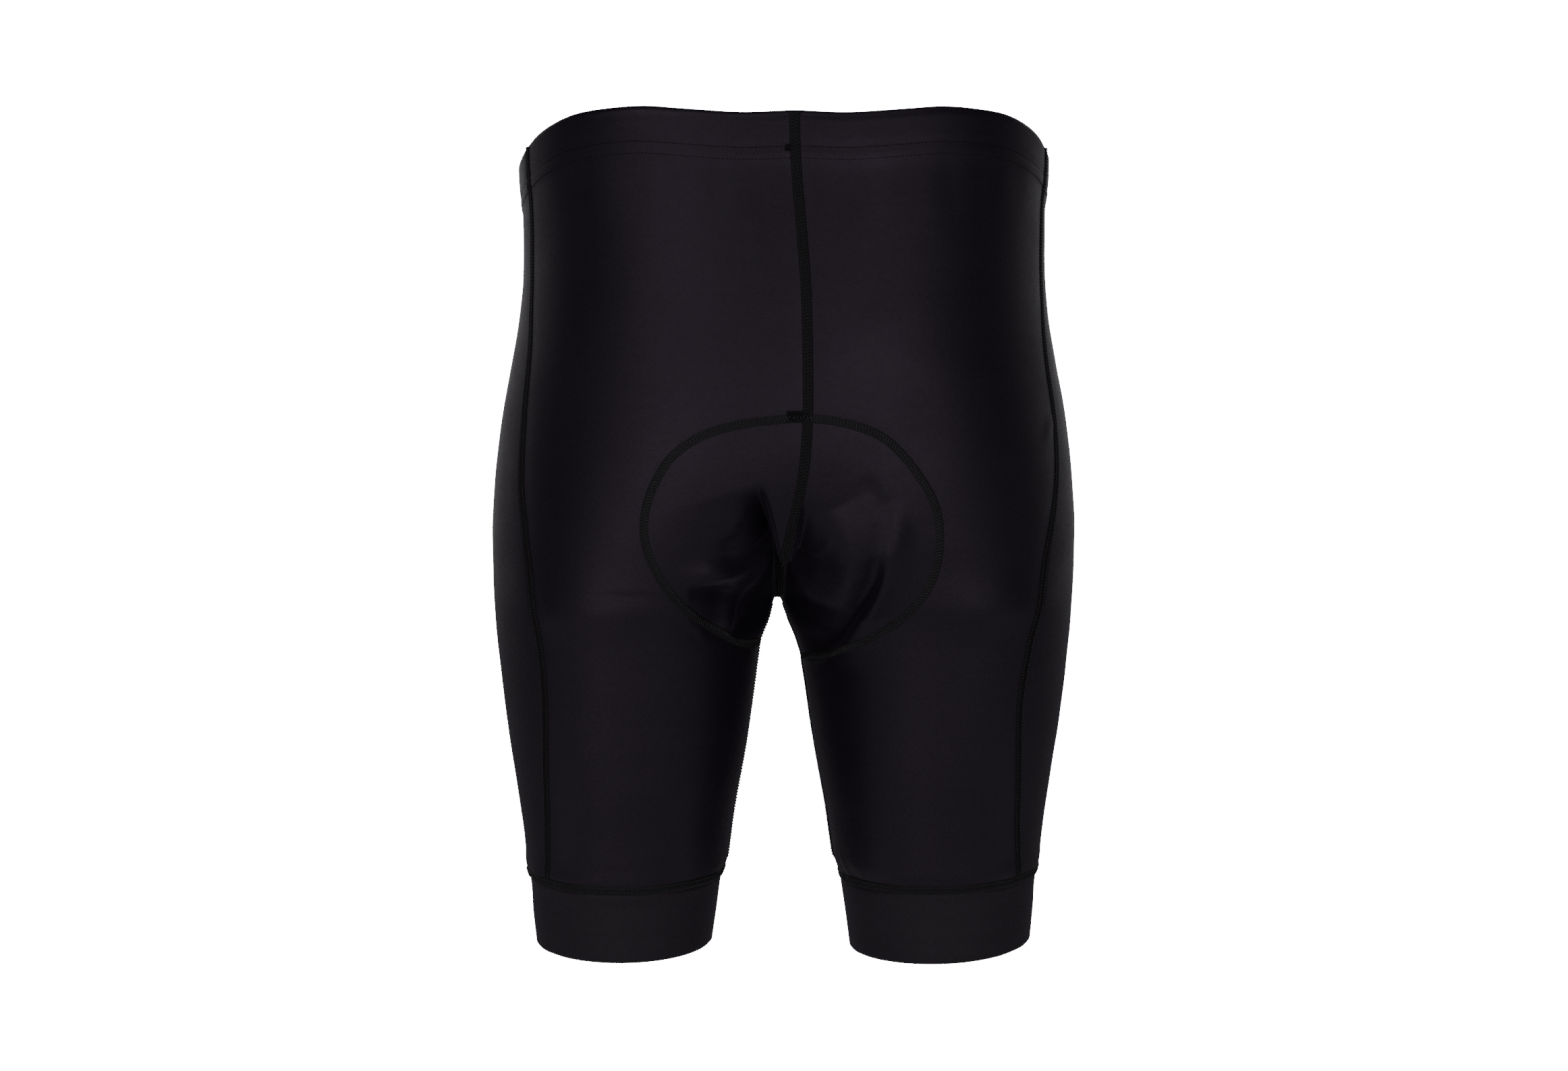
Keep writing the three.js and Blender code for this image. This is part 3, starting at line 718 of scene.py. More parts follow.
@dataclass(frozen=True)
class ClothRelief:
    """How far folds, seams, casing, pad and small ripples lift the cloth's outer face off the form."""

    pad_swell: float = 1.1
    pad_ramp: float = 26.0
    stitch_pinch: float = 0.4
    stitch_width: float = 3.6
    casing_depth: float = 27.0
    casing_swell: float = 0.7
    edge_round: float = 1.6
    casing_rows: tuple[float, float] = (19.5, 26.0)
    row_pinch: float = 0.45
    row_width: float = 1.3
    seam_pinch: float = 0.55
    seam_width: float = 6.0
    centre_seam_levels: tuple[float, float] = (-272.0, -262.0)
    side_seam_widths: tuple[float, float] = (100.0, 120.0)
    side_seam_share: float = 0.7
    fold_middle: tuple[float, float] = (4.0, 34.0)
    ripple: float = 0.16
    cuff_gather: float = 0.28
    casing_gather: float = 0.12

    def lift(self, points: Array) -> Array:
        """Add up everything but the folds that lifts the cloth.

        Args:
            points: Points on the form.

        Returns:
            The lift at each point, in millimetres outward.
        """
        return self.pad(points) + self.casing(points) + self.seams(points) + self.ripples(points)

    def folds(self, points: Array) -> Array:
        """Return how far the folds lift the cloth."""
        return sum(fold.lift(points) for fold in (*MAIN_FOLDS, *CREASES))

    def fold_heading(self, points: Array, normals: Array) -> Array:
        """Return the way folds move the cloth: along the normals, but not sideways by the middle."""
        off = np.abs(points[:, 0] - SECTIONS.read(points[:, 2])["middle"])
        heading = normals.copy()
        heading[:, 0] *= smoothstep(off, *self.fold_middle)
        return unit(heading)

    def pad(self, points: Array) -> Array:
        """Return the swell over the pad and the pinch where its edge is sewn."""
        margin = PAD_MAP.margin_at(points)
        swell = self.pad_swell * smoothstep(margin, 0, self.pad_ramp)
        return swell - self.stitch_pinch * np.exp(-((margin - 2) / self.stitch_width) ** 2)

    def casing(self, points: Array) -> Array:
        """Return the thickness of the turned casing, its stitch rows and its rounded fold."""
        section = SECTIONS.read(points[:, 2])
        turn = np.degrees(np.arctan2(points[:, 1], np.abs(points[:, 0] - section["middle"])))
        depth = WAIST_EDGE.read(turn)["height"] - points[:, 2]
        below = smoothstep(depth, self.casing_depth - 1.5, self.casing_depth + 2.5)
        total = self.casing_swell * (1 - below)
        for row in self.casing_rows:
            total -= self.row_pinch * np.exp(-(((depth - row) / self.row_width) ** 2))
        return total - rounded_edge(depth, self.edge_round)

    def seams(self, points: Array) -> Array:
        """Return the pinch along the centre seam and the side seams."""
        section = SECTIONS.read(points[:, 2])
        off_centre = np.abs(points[:, 0] - section["middle"])
        seam = SIDE_SEAM.read(points[:, 2])
        side = np.where(points[:, 0] > 0, 1, -1)
        off_side = np.abs(points[:, 1] - (seam["behind"] - side * seam["lean"]))
        on_trunk = smoothstep(points[:, 2], *self.centre_seam_levels)
        outside = smoothstep(np.abs(points[:, 0]), *self.side_seam_widths)
        pinch = on_trunk * np.exp(-((off_centre / self.seam_width) ** 2))
        pinch += self.side_seam_share * outside * np.exp(-((off_side / self.seam_width) ** 2))
        return -self.seam_pinch * pinch

    def ripples(self, points: Array) -> Array:
        """Return the small uneven waves of stretched cloth, and its gathers by the casing and cuffs.

        Waves are told by millimetres of level and degrees round the body. Their lengths share no
        common measure, so the pattern doesn't repeat.
        """
        x, y, z = points.T
        turn = np.degrees(np.arctan2(y, x))
        slow = np.sin(z / 17 + 1.7 * np.sin(turn / 23)) * np.sin(turn / 9 + z / 61)
        level = 0.6 * np.sin(z / 5.3 + 2.2 * np.sin(turn / 31 + 0.7)) * np.sin(turn / 13 + 1.1)
        gather = np.sin(turn / 1.9 + 1.3 * np.sin(turn / 11))
        by_cuff = np.exp(-(((z - LEVELS.cuff_seam - 6) / 8) ** 2))
        by_casing = np.exp(-(((z + 26) / 16) ** 2))
        gathered = gather * (self.cuff_gather * by_cuff + self.casing_gather * by_casing)
        return self.ripple * (slow + 0.5 * level) + gathered


RELIEF = ClothRelief()


def dressed(points: Array, height: Array | float = 0.0) -> Array:
    """Return points on the form moved out to the cloth's face, plus a height."""
    normals = FORM.outward(points)
    rise = RELIEF.lift(points) + height
    fold = RELIEF.folds(points)[:, None] * RELIEF.fold_heading(points, normals)
    return points + normals * rise[:, None] + fold


@dataclass
class MeshParts:
    """Vertices and faces that grow into one mesh, in millimetres."""

    vertices: list[Array] = field(default_factory=list)
    faces: list[list[int]] = field(default_factory=list)
    flat_faces: list[list[int]] = field(default_factory=list)
    count: int = 0

    def add(self, vertices: Array, faces: list[list[int]], flat: bool = False) -> int:
        """Add vertices with their faces.

        Args:
            vertices: New vertices.
            faces: Faces that number the new vertices from 0.
            flat: Whether the faces are shaded flat.

        Returns:
            The number of the first new vertex.
        """
        first = self.count
        self.vertices.append(vertices)
        self.count += len(vertices)
        (self.flat_faces if flat else self.faces).extend([[i + first for i in f] for f in faces])
        return first

    def build(self, name: str, finish: "Finish") -> bpy.types.Object:
        """Make the object and declare how it rides.

        Args:
            name: The object's name.
            finish: What it is made of.

        Returns:
            The new object.
        """
        mesh = bpy.data.meshes.new(name)
        points = np.concatenate(self.vertices) * MM
        mesh.from_pydata(points.tolist(), [], self.faces + self.flat_faces)
        smooth = [True] * len(self.faces) + [False] * len(self.flat_faces)
        mesh.polygons.foreach_set("use_smooth", smooth)
        mesh.materials.append(finish.material())
        mesh.update()
        piece = bpy.data.objects.new(name, mesh)
        bpy.context.scene.collection.objects.link(piece)
        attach(piece, "root")
        log.info("%s: %d faces", name, len(mesh.polygons))
        return piece


def grid_faces(rows: Array, closed: bool = False) -> Array:
    """Return quads between the numbered vertices of a grid.

    Args:
        rows: Vertex numbers by row and column.
        closed: Whether each row's end joins its start.

    Returns:
        Four vertex numbers a row.
    """
    if closed:
        rows = np.concatenate([rows, rows[:, :1]], axis=1)
    return np.stack([rows[:-1, :-1], rows[1:, :-1], rows[1:, 1:], rows[:-1, 1:]], axis=-1).reshape(-1, 4)


def shell(points: Array, faces: Array, wall: Array | float, height: Array | float = 0.0) -> MeshParts:
    """Make a closed thin shell on points of the form.

    Args:
        points: Points on the form.
        faces: Quads between them, all the same way round.
        wall: Thickness behind each point.
        height: How far the outer face stands off the cloth's face.

    Returns:
        The shell's outer face, inner face and rim.
    """
    normals = FORM.outward(points)
    a, b, c = (points[faces[0, i]] for i in range(3))
    if np.dot(np.cross(b - a, c - a), normals[faces[0, 0]]) < 0:
        faces = faces[:, ::-1]
    outer = dressed(points, height)
    inner = outer - normals * np.broadcast_to(wall, len(points))[:, None]
    count = len(points)
    edges = np.concatenate([faces[:, [i, (i + 1) % 4]] for i in range(4)])
    key = edges.min(axis=1) * count + edges.max(axis=1)
    _, first, uses = np.unique(key, return_index=True, return_counts=True)
    rim = edges[first[uses == 1]]
    rim_faces = np.stack([rim[:, 1], rim[:, 0], rim[:, 0] + count, rim[:, 1] + count], axis=1)
    parts = MeshParts()
    parts.add(np.concatenate([outer, inner]), np.concatenate([faces, faces[:, ::-1] + count]).tolist())
    parts.flat_faces.extend(rim_faces.tolist())
    return parts


@dataclass(frozen=True)
class Cut:
    """What a cloth piece was cut to before it was worn, in metres and square metres."""

    width: float
    length: float
    area: float
    stretch: ClassVar[float] = 1.12

    @classmethod
    def before_wear(cls, piece: bpy.types.Object, rows: list[Array], length: float) -> "Cut":
        """Work the cut back from the worn piece, which is stretched round the body.

        Args:
            piece: The worn shell, whose two faces both count in its surface.
            rows: The points of each row round the body, in millimetres.
            length: The longest run down the piece, in millimetres.

        Returns:
            The cut.
        """
        girth = max(run_of(row)[-1] for row in rows)
        surface = sum(polygon.area for polygon in piece.data.polygons)
        return cls(girth / cls.stretch * MM, length * MM, surface / 2 / cls.stretch)


@dataclass
class ClothPiece:
    """A finished cloth piece with its cut, and the sewing that goes with it."""

    thing: bpy.types.Object
    cut: Cut
    rests_on: tuple[str, ...]
    sewing: list[bpy.types.Object] = field(default_factory=list)

    def declare(self) -> None:
        """Do nothing; the piece keeps its cut as it is."""


@dataclass
class LegColumns:
    """A panel's columns down the leg: where each starts and the angle it keeps."""

    side: Side
    face: Face
    starts: Array
    first_arc: int

    def __post_init__(self) -> None:
        """Work out each start's angle round the leg."""
        angle = self.angle_of(self.starts)
        self.start_angles = angle
        self.fork_angle = angle[self.first_arc]
        self.seam_angle = angle[-1]

    def angle_of(self, points: Array) -> Array:
        """Return leg angles that run on past 180 degrees on the inner side."""
        centre = FORM.leg_centre(self.side, points[:, 2])
        angle = np.degrees(np.arctan2(points[:, 1], self.side.value * (points[:, 0] - centre)))
        turn = 360 * self.face.value
        return np.where(angle * self.face.value < -90, angle + turn, angle)

    def angles(self, z: Array) -> Array:
        """Return each column's angle at its level, following the side seam."""
        share = (self.start_angles - self.fork_angle) / (self.seam_angle - self.fork_angle)
        seam_now = SEAM_ANGLES[self.side].on_leg(z)
        moved = self.fork_angle + (seam_now - self.fork_angle) * share
        return np.where(share <= 0, self.start_angles, moved)

    def row(self, down: float) -> Array:
        """Return the columns' points at a share of the way down to the cuff seam."""
        bottom = LEVELS.cuff_seam_at(self.side, self.angles(np.full(len(self.starts), LEVELS.cuff_seam)))
        z = self.starts[:, 2] + (bottom - self.starts[:, 2]) * down
        return FORM.leg_point(self.side, self.angles(z), z)


@dataclass
class Panel:
    """One front or back panel of one side, as a thin shell."""

    side: Side
    face: Face
    columns: int = 100
    trunk_rows: int = 120
    crotch_columns: int = 42
    leg_rows: int = 88
    row_crowd: float = 1.3
    column_crowd: float = 1.4
    wall: float = 1.0

    def trunk(self) -> Array:
        """Return the panel's points above the fork, by row and column from centre to side seam."""
        down = 1 - crowded(self.trunk_rows, self.row_crowd)[::-1][:, None]
        share = crowded(self.columns, self.column_crowd)[None, :]
        centre, first_guess, rounds = 90.0 * self.face.value, 20, 4
        angle = centre + (first_guess - centre) * share + 0 * down
        for _ in range(rounds):
            z = WAIST_EDGE.read(angle)["height"] * (1 - down) + FORM.fork * down
            angle = centre + (SEAM_ANGLES[self.side].on_trunk(z) - centre) * share
        points = FORM.trunk_point(self.side, angle.reshape(-1), z.reshape(-1))
        return points.reshape(self.trunk_rows + 1, self.columns + 1, 3)

    def crotch(self) -> Array:
        """Return the crotch seam's points under this panel, from the inseam to the fork."""
        fork = FORM.trunk_point(Side.LEFT, np.array([90.0 * self.face.value]), np.array([FORM.fork]))
        return FORM.crotch_point(fork[0, 1] * np.arange(self.crotch_columns) / self.crotch_columns)

    def leg_columns(self) -> LegColumns:
        """Return the columns of the panel's leg."""
        starts = np.concatenate([self.crotch(), self.trunk()[-1]])
        return LegColumns(self.side, self.face, starts, self.crotch_columns)

    def grid(self) -> tuple[Array, Array, list[Array]]:
        """Lay out the whole panel.

        Returns:
            Its points, the quads between them, and its rows from the waist down.
        """
        trunk = self.trunk()
        across = self.columns + 1
        trunk_numbers = np.arange(trunk.shape[0] * across).reshape(-1, across)
        columns = self.leg_columns()
        downs = crowded(self.leg_rows, self.row_crowd)[1:]
        rows = [columns.row(down) for down in downs]
        first_crotch = trunk_numbers.size
        crotch_numbers = first_crotch + np.arange(self.crotch_columns)
        first_leg = first_crotch + self.crotch_columns
        wide = self.crotch_columns + across
        leg_numbers = first_leg + np.arange(len(rows) * wide).reshape(-1, wide)
        top = np.concatenate([crotch_numbers, trunk_numbers[-1]])
        points = np.concatenate([trunk.reshape(-1, 3), columns.starts[: self.crotch_columns], *rows])
        numbers = np.concatenate([top[None], leg_numbers])
        faces = np.concatenate([grid_faces(trunk_numbers), grid_faces(numbers)])
        return points, faces, [*trunk, *rows]

    def build(self, finish: "Finish") -> ClothPiece:
        """Make the panel and put it in its solid's place.

        Args:
            finish: The cloth it is cut from.

        Returns:
            The panel with its cut.
        """
        points, faces, rows = self.grid()
        node = f"{self.face.word}_{self.side.word}"
        piece = shell(points, faces, self.wall).build(f"cloth_{node}", finish)
        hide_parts(node)
        seam_edge = np.array([row[-1] for row in rows])
        across = "front" if self.face is Face.BACK else "back"
        beside = (f"{across}_{self.side.word}", "waist_casing", f"cuff_{self.side.word}")
        return ClothPiece(piece, Cut.before_wear(piece, rows, run_of(seam_edge)[-1]), beside)


@dataclass
class Cuff:
    """The band of gripper knit round one leg's end."""

    side: Side
    columns: int = 150
    rows: int = 24
    wall: float = 1.5
    edge_round: float = 1.3
    tuck: float = 0.5
    tuck_width: float = 1.5
    row_crowd: float = 0.9

    def build(self, finish: "Finish") -> ClothPiece:
        """Make the band and put it in its solid's place.

        Args:
            finish: The knit it is made of.

        Returns:
            The band with its cut.
        """
        angle = np.linspace(0, 360, self.columns, endpoint=False)[None, :]
        down = np.linspace(0, 1, self.rows + 1)[:, None] ** self.row_crowd
        high, low = LEVELS.cuff_seam_at(self.side, angle), LEVELS.hem_at(self.side, angle)
        z = high + (low - high) * down
        points = FORM.leg_point(self.side, (angle + 0 * z).reshape(-1), z.reshape(-1))
        from_hem = ((high - low) * (1 - down) + 0 * angle).reshape(-1)
        from_seam = ((high - low) * down + 0 * angle).reshape(-1)
        height = -rounded_edge(from_hem, self.edge_round)
        height -= self.tuck * np.exp(-((from_seam / self.tuck_width) ** 2))
        faces = grid_faces(np.arange(z.size).reshape(z.shape), closed=True)
        node = f"cuff_{self.side.word}"
        parts = shell(points, faces, self.wall, height)
        piece = parts.build(f"knit_{node}", finish)
        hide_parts(node)
        rings = closed_rings(points, self.columns)
        length = float(rings[0][0, 2] - rings[-1][0, 2])
        beside = (f"back_{self.side.word}", f"front_{self.side.word}")
        return ClothPiece(piece, Cut.before_wear(piece, rings, length), beside)


@dataclass
class WaistCasing:
    """The turned-in top of the panels with its elastic, inside the waist."""

    columns: int = 200
    rows: int = 16
    wall: float = 1.8
    behind: float = 1.75
    top: float = 0.9
    depth: float = 26.6

    def build(self, finish: "Finish") -> ClothPiece:
        """Make the casing and put it in its solid's place.

        Args:
            finish: The cloth's inner side.

        Returns:
            The casing with its cut.
        """
        angle, side = body_turns(np.linspace(0, 360, self.columns, endpoint=False))
        depth = self.top + (self.depth - self.top) * np.linspace(0, 1, self.rows + 1)[:, None]
        z = WAIST_EDGE.read(angle)["height"][None, :] - depth
        turn = np.radians(np.broadcast_to(angle, z.shape).reshape(-1))
        middle = SECTIONS.read(z.reshape(-1))["middle"]
        across = np.broadcast_to(side, z.shape).reshape(-1) * np.cos(turn)
        points = FORM.reach(middle, 0, across, np.sin(turn), z.reshape(-1))
        faces = grid_faces(np.arange(z.size).reshape(z.shape), closed=True)
        parts = shell(points, faces, self.wall, -self.behind)
        piece = parts.build("turned_casing", finish)
        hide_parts("waist_casing")
        rings = closed_rings(points, self.columns)
        beside = ("back_left", "back_right", "front_left", "front_right")
        return ClothPiece(piece, Cut.before_wear(piece, rings, self.depth - self.top), beside)


@dataclass
class SeatPad:
    """The pad sewn inside the seat: a soft core that thins to a stitched edge."""

    stations: int = 96
    across: int = 30
    behind: float = 1.5
    edge: float = 1.4
    core: float = 7.6
    ramp: float = 24.0
    channel_depth: float = 2.2
    channel_width: float = 5.0
    channel_start: float = 1.8
    bridge: float = 3.0

    def sunk(self, points: Array) -> Array:
        """Tell how far the pad sinks to stay under folds near each point, which it bridges.

        Args:
            points: Points on the form.

        Returns:
            The height over the cloth's own face, 0 or less.
        """
        here = RELIEF.folds(points)
        lowest = here.copy()
        turn = 2 * np.pi * np.arange(8) / 8
        for across, up in zip(np.cos(turn), np.sin(turn)):
            beside = points + self.bridge * np.array([across, 0.0, up])
            lowest = np.minimum(lowest, RELIEF.folds(beside))
        return lowest - here

    def build(self, finish: "Finish") -> bpy.types.Object:
        """Make the pad and put it in its solid's place.

        Args:
            finish: Its brushed cover.

        Returns:
            The pad's object.
        """
        run = PAD_MAP.length * (1 - np.cos(np.pi * np.linspace(0, 1, self.stations + 1))) / 2
        shares = np.linspace(-1, 1, 2 * self.across + 1)
        left, right = PAD_MAP.halves(run)
        sideways = np.where(shares > 0, left[:, None], right[:, None]) * shares
        flat = np.stack([np.broadcast_to(run[:, None], sideways.shape), sideways], axis=-1).reshape(-1, 2)
        points = PAD_MAP.place(flat[:, 0], flat[:, 1])
        margin = np.maximum(PAD_MAP.margin(flat), 0)
        sunk = self.sunk(points)
        wall = self.edge + (self.core - self.edge) * smoothstep(margin, 0, self.ramp)
        inside = smoothstep(margin, self.ramp, self.ramp * self.channel_start)
        wall -= self.channel_depth * inside * np.exp(-((flat[:, 1] / self.channel_width) ** 2))
        faces = grid_faces(np.arange(sideways.size).reshape(sideways.shape))
        parts = shell(points, faces, wall, sunk - self.behind)
        piece = parts.build("pad_fleece_and_foam", finish)
        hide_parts("seat_pad")
        return piece


@dataclass(frozen=True)
class Thread:
    """One repeating stitch of a seam: its run along and across the seam, in millimetres."""

    begin: float
    finish: float
    begin_across: float
    finish_across: float
    pitch: float
    radius: float
    rise: float = 0.25


STITCH = 1.85


class SeamPattern(Enum):
    """The kinds of stitching on the shorts."""

    FLAT_SEAM = (
        *(Thread(0.12, 0.88, a, a, STITCH, 0.24) for a in (-2.1, 0.0, 2.1)),
        Thread(0.0, 0.5, -2.1, 0.0, STITCH, 0.15, 0.12), Thread(0.5, 1.0, 0.0, 2.1, STITCH, 0.15, 0.12),
    )
    SIDE_SEAM = (
        *(Thread(0.12, 0.88, a, a, STITCH, 0.24) for a in (-1.9, 1.9)),
        Thread(0.0, 0.9, -1.9, 1.9, STITCH, 0.15, 0.12),
    )
    PAD_EDGE = (
        Thread(0.0, 0.75, -2.3, 2.3, STITCH, 0.26, 0.3), Thread(0.5, 1.0, 2.3, -2.3, STITCH, 0.16, 0.16),
    )
    CUFF_SEAM = (
        *(Thread(0.12, 0.88, a, a, STITCH, 0.24) for a in (-1.6, 0.9)),
        Thread(0.0, 0.5, -1.6, 0.9, STITCH, 0.17, 0.12), Thread(0.5, 1.0, 0.9, 2.8, STITCH, 0.17, 0.12),
    )
    TOP_ROW = (Thread(0.1, 0.86, 0.0, 0.0, 2.3, 0.22, 0.16),)
    TACK = (Thread(0.0, 0.5, -2.2, 2.2, 0.75, 0.3, 0.55), Thread(0.5, 1.0, 2.2, -2.2, 0.75, 0.3, 0.45))
    WIDE_TACK = (
        Thread(0.0, 0.5, -3.6, 0.6, 1.3, 0.34, 0.7), Thread(0.5, 1.0, 0.6, -3.6, 1.3, 0.3, 0.4),
        Thread(0.0, 0.5, -0.6, 3.6, 1.3, 0.34, 0.6), Thread(0.5, 1.0, 3.6, -0.6, 1.3, 0.3, 0.5),
    )


@dataclass
class SeamLine:
    """A line on the form with stitches, and a low band of cloth under them.

    The owner is the solid whose cloth the line is counted with.
    """

    name: str
    owner: str
    line: Array
    pattern: SeamPattern
    band: float = 0.0
    band_height: float = 0.4
    dark: bool = False
    pale_band: bool = False
    sides: int = 5

    def __post_init__(self) -> None:
        """Space the line evenly and work out its frame."""
        self.line = FORM.settle(even(self.line, 1.0))
        self.along = run_of(self.line)
        heading = unit(np.gradient(self.line, axis=0))
        self.across = unit(np.cross(heading, FORM.outward(self.line)))

    def places(self, along: Array, across: Array, height: Array | float) -> tuple[Array, Array]:
        """Find places on the cloth by their run along and across the seam.

        Args:
            along: Distance along the seam.
            across: Distance to its side.
            height: Height over the cloth.

        Returns:
            The places and the directions straight out of the form there.
        """
        base = np.stack([np.interp(along, self.along, self.line[:, c]) for c in range(3)], axis=1)
        side = np.stack([np.interp(along, self.along, self.across[:, c]) for c in range(3)], axis=1)
        points = FORM.settle(base + side * across[:, None], 2)
        return dressed(points, height), FORM.outward(points)

    def stitches(self, parts: MeshParts) -> None:
        """Add every stitch of the pattern as a short round thread that dips in at its ends.

        Each stitch has five rings: where they lie along it, how thick the thread is there, and how
        high it stands.

        Args:
            parts: The mesh that they join.
        """
        rings = np.array([0.0, 0.16, 0.5, 0.84, 1.0])
        girth = np.array([0.35, 0.95, 1.0, 0.95, 0.35])
        bow = np.array([-0.8, 0.55, 1.0, 0.55, -0.8])
        for thread in self.pattern.value:
            count = int(self.along[-1] / thread.pitch)
            number = np.arange(count)[:, None]
            share = thread.begin + (thread.finish - thread.begin) * rings[None, :]
            along = (number + share) * thread.pitch
            sideways = thread.finish_across - thread.begin_across
            across = thread.begin_across + sideways * rings + 0 * along
            height = self.band_height * (self.band > 0) + thread.rise * bow + 0 * along
            centres, normals = self.places(along.reshape(-1), across.reshape(-1), height.reshape(-1))
            centres = centres.reshape(count, len(rings), 3)
            normals = normals.reshape(count, len(rings), 3)
            heading = unit(np.gradient(centres, axis=1))
            aside = unit(np.cross(heading, normals))
            upright = np.cross(aside, heading)
            turn = 2 * np.pi * np.arange(self.sides) / self.sides
            ring = thread.radius * girth[None, :, None, None] * (
                np.cos(turn)[None, None, :, None] * aside[:, :, None, :]
                + np.sin(turn)[None, None, :, None] * upright[:, :, None, :])
            vertices = (centres[:, :, None, :] + ring).reshape(-1, 3)
            numbers = np.arange(len(vertices)).reshape(count, len(rings), self.sides)
            wrapped = np.concatenate([numbers, numbers[:, :, :1]], axis=2)
            quads = np.stack([wrapped[:, :-1, :-1], wrapped[:, :-1, 1:], wrapped[:, 1:, 1:],
                              wrapped[:, 1:, :-1]], axis=-1).reshape(-1, 4)
            caps = np.concatenate([numbers[:, 0, ::-1], numbers[:, -1, :]])
            parts.add(vertices, quads.tolist() + caps.tolist())

    def ribbon(self, parts: MeshParts) -> None:
        """Add the low band of lapped cloth that the stitches lie on.

        Args:
            parts: The mesh that it joins.
        """
        profile = np.array([-1.0, -0.86, -0.62, -0.3, 0.0, 0.3, 0.62, 0.86, 1.0])
        rise = np.array([-0.5, 0.55, 0.95, 1.0, 0.8, 1.0, 0.95, 0.55, -0.5])
        along = np.repeat(self.along, len(profile))
        across = np.tile(profile * self.band / 2, len(self.along))
        height = np.tile(rise * self.band_height, len(self.along))
        points, _ = self.places(along, across, height)
        numbers = np.arange(len(points)).reshape(-1, len(profile))
        parts.add(points, grid_faces(numbers)[:, ::-1].tolist())

    def build(self, thread: "Finish", cover: "Finish", pale_cover: "Finish") -> list[bpy.types.Object]:
        """Make the seam's band and its stitches.

        Args:
            thread: The finish of black thread, its colour set lighter than the cloth's as painted sheen.
            cover: The finish of dark yarn, for bands and dark stitches.
            pale_cover: The finish of a pale band.

        Returns:
            The objects made.
        """
        made = []
        if self.band > 0:
            band = MeshParts()
            self.ribbon(band)
            cloth = pale_cover if self.pale_band else cover
            made.append(band.build(f"{self.name}_band", cloth))
        stitches = MeshParts()
        self.stitches(stitches)
        yarn = cover if self.dark else thread
        made.append(stitches.build(f"{self.name}_stitches", yarn))
        return made


@dataclass
class Stitching:
    """Every sewn line of the shorts."""

    band_width: float = 6.4
    side_band_width: float = 5.6
    cuff_band_width: float = 6.0
    cuff_band_up: float = 3.0
    pad_band_width: float = 5.4
    pad_band_height: float = 0.3
    pad_band_inset: float = 1.8
    back_top: float = 14.0
    front_top: float = -29.5
    side_top: float = 1.2
    short_of_cuff: float = 7.0

    def centre(self) -> SeamLine:
        """Return the centre seam, from the back waist under the crotch to the front waist."""
        line = centre_line(self.back_top, self.front_top)
        return SeamLine("centre_seam", "back_left", line, SeamPattern.FLAT_SEAM, self.band_width)

    def side(self, side: Side) -> SeamLine:
        """Return one side seam, from the waist to the cuff."""
        angles = SEAM_ANGLES[side]
        near_top = np.array([-3.0])
        top = WAIST_EDGE.read(angles.on_trunk(near_top))["height"][0] - self.side_top
        bottom = LEVELS.cuff_seam + self.short_of_cuff
        line = FORM.side_seam_point(side, np.arange(top, bottom, -1.0))
        name, owner = f"side_seam_{side.word}", f"back_{side.word}"
        return SeamLine(name, owner, line, SeamPattern.SIDE_SEAM, self.side_band_width)

    def inseam(self, side: Side) -> SeamLine:
        """Return one inner leg seam, from the crotch to the cuff."""
        levels = np.arange(FORM.crotch - 6, LEVELS.cuff_seam + self.short_of_cuff - 1, -1.0)
        line = FORM.leg_point(side, 180.0, levels)
        name, owner = f"inseam_{side.word}", f"front_{side.word}"
        return SeamLine(name, owner, line, SeamPattern.SIDE_SEAM, self.side_band_width)

    def cuff(self, side: Side) -> SeamLine:
        """Return the seam just over one cuff."""
        angle = np.linspace(-60, 300, 181) if side is Side.LEFT else np.linspace(300, -60, 181)
        line = FORM.leg_point(side, angle, LEVELS.cuff_seam_at(side, angle) + self.cuff_band_up)
        name, owner = f"cuff_seam_{side.word}", f"cuff_{side.word}"
        return SeamLine(name, owner, line, SeamPattern.CUFF_SEAM, self.cuff_band_width, pale_band=True)

    def pad_edge(self) -> SeamLine:
        """Return the seam round the pad."""
        line = PAD_MAP.outline(self.pad_band_inset)
        return SeamLine("pad_edge", "back_right", line, SeamPattern.PAD_EDGE, self.pad_band_width,
                        self.pad_band_height, pale_band=True)

    def casing(self, depth: float, name: str) -> SeamLine:
        """Return one stitch row round the waist casing."""
        angle, side = body_turns(np.linspace(0, 360, 361))
        z = WAIST_EDGE.read(angle)["height"] - depth
        middle = SECTIONS.read(z)["middle"]
        line = FORM.reach(middle, 0, side * np.cos(np.radians(angle)), np.sin(np.radians(angle)), z)
        return SeamLine(name, "waist_casing", line, SeamPattern.TOP_ROW, dark=True)

    def tack(self, name: str, x: float, z: float, length: float, pattern: SeamPattern) -> SeamLine:
        """Return one short dense bar of stitches on the back."""
        line = FORM.reach(np.array([x - length / 2, x + length / 2]), 0, 0, 1, np.array([z, z]))
        return SeamLine(name, "back_left", line, pattern, dark=True)

    def lines(self) -> list[SeamLine]:
        """Return every line of stitching."""
        first, second = RELIEF.casing_rows
        return [
            self.centre(),
            *(self.side(side) for side in Side),
            *(self.inseam(side) for side in Side),
            *(self.cuff(side) for side in Side),
            self.pad_edge(),
            self.casing(first, "casing_upper_row"),
            self.casing(second, "casing_lower_row"),
            self.tack("waist_tack", x=5.6, z=-5.5, length=4.0, pattern=SeamPattern.TACK),
            self.tack("pad_tack", x=1.0, z=-153.5, length=13.0, pattern=SeamPattern.WIDE_TACK),
        ]


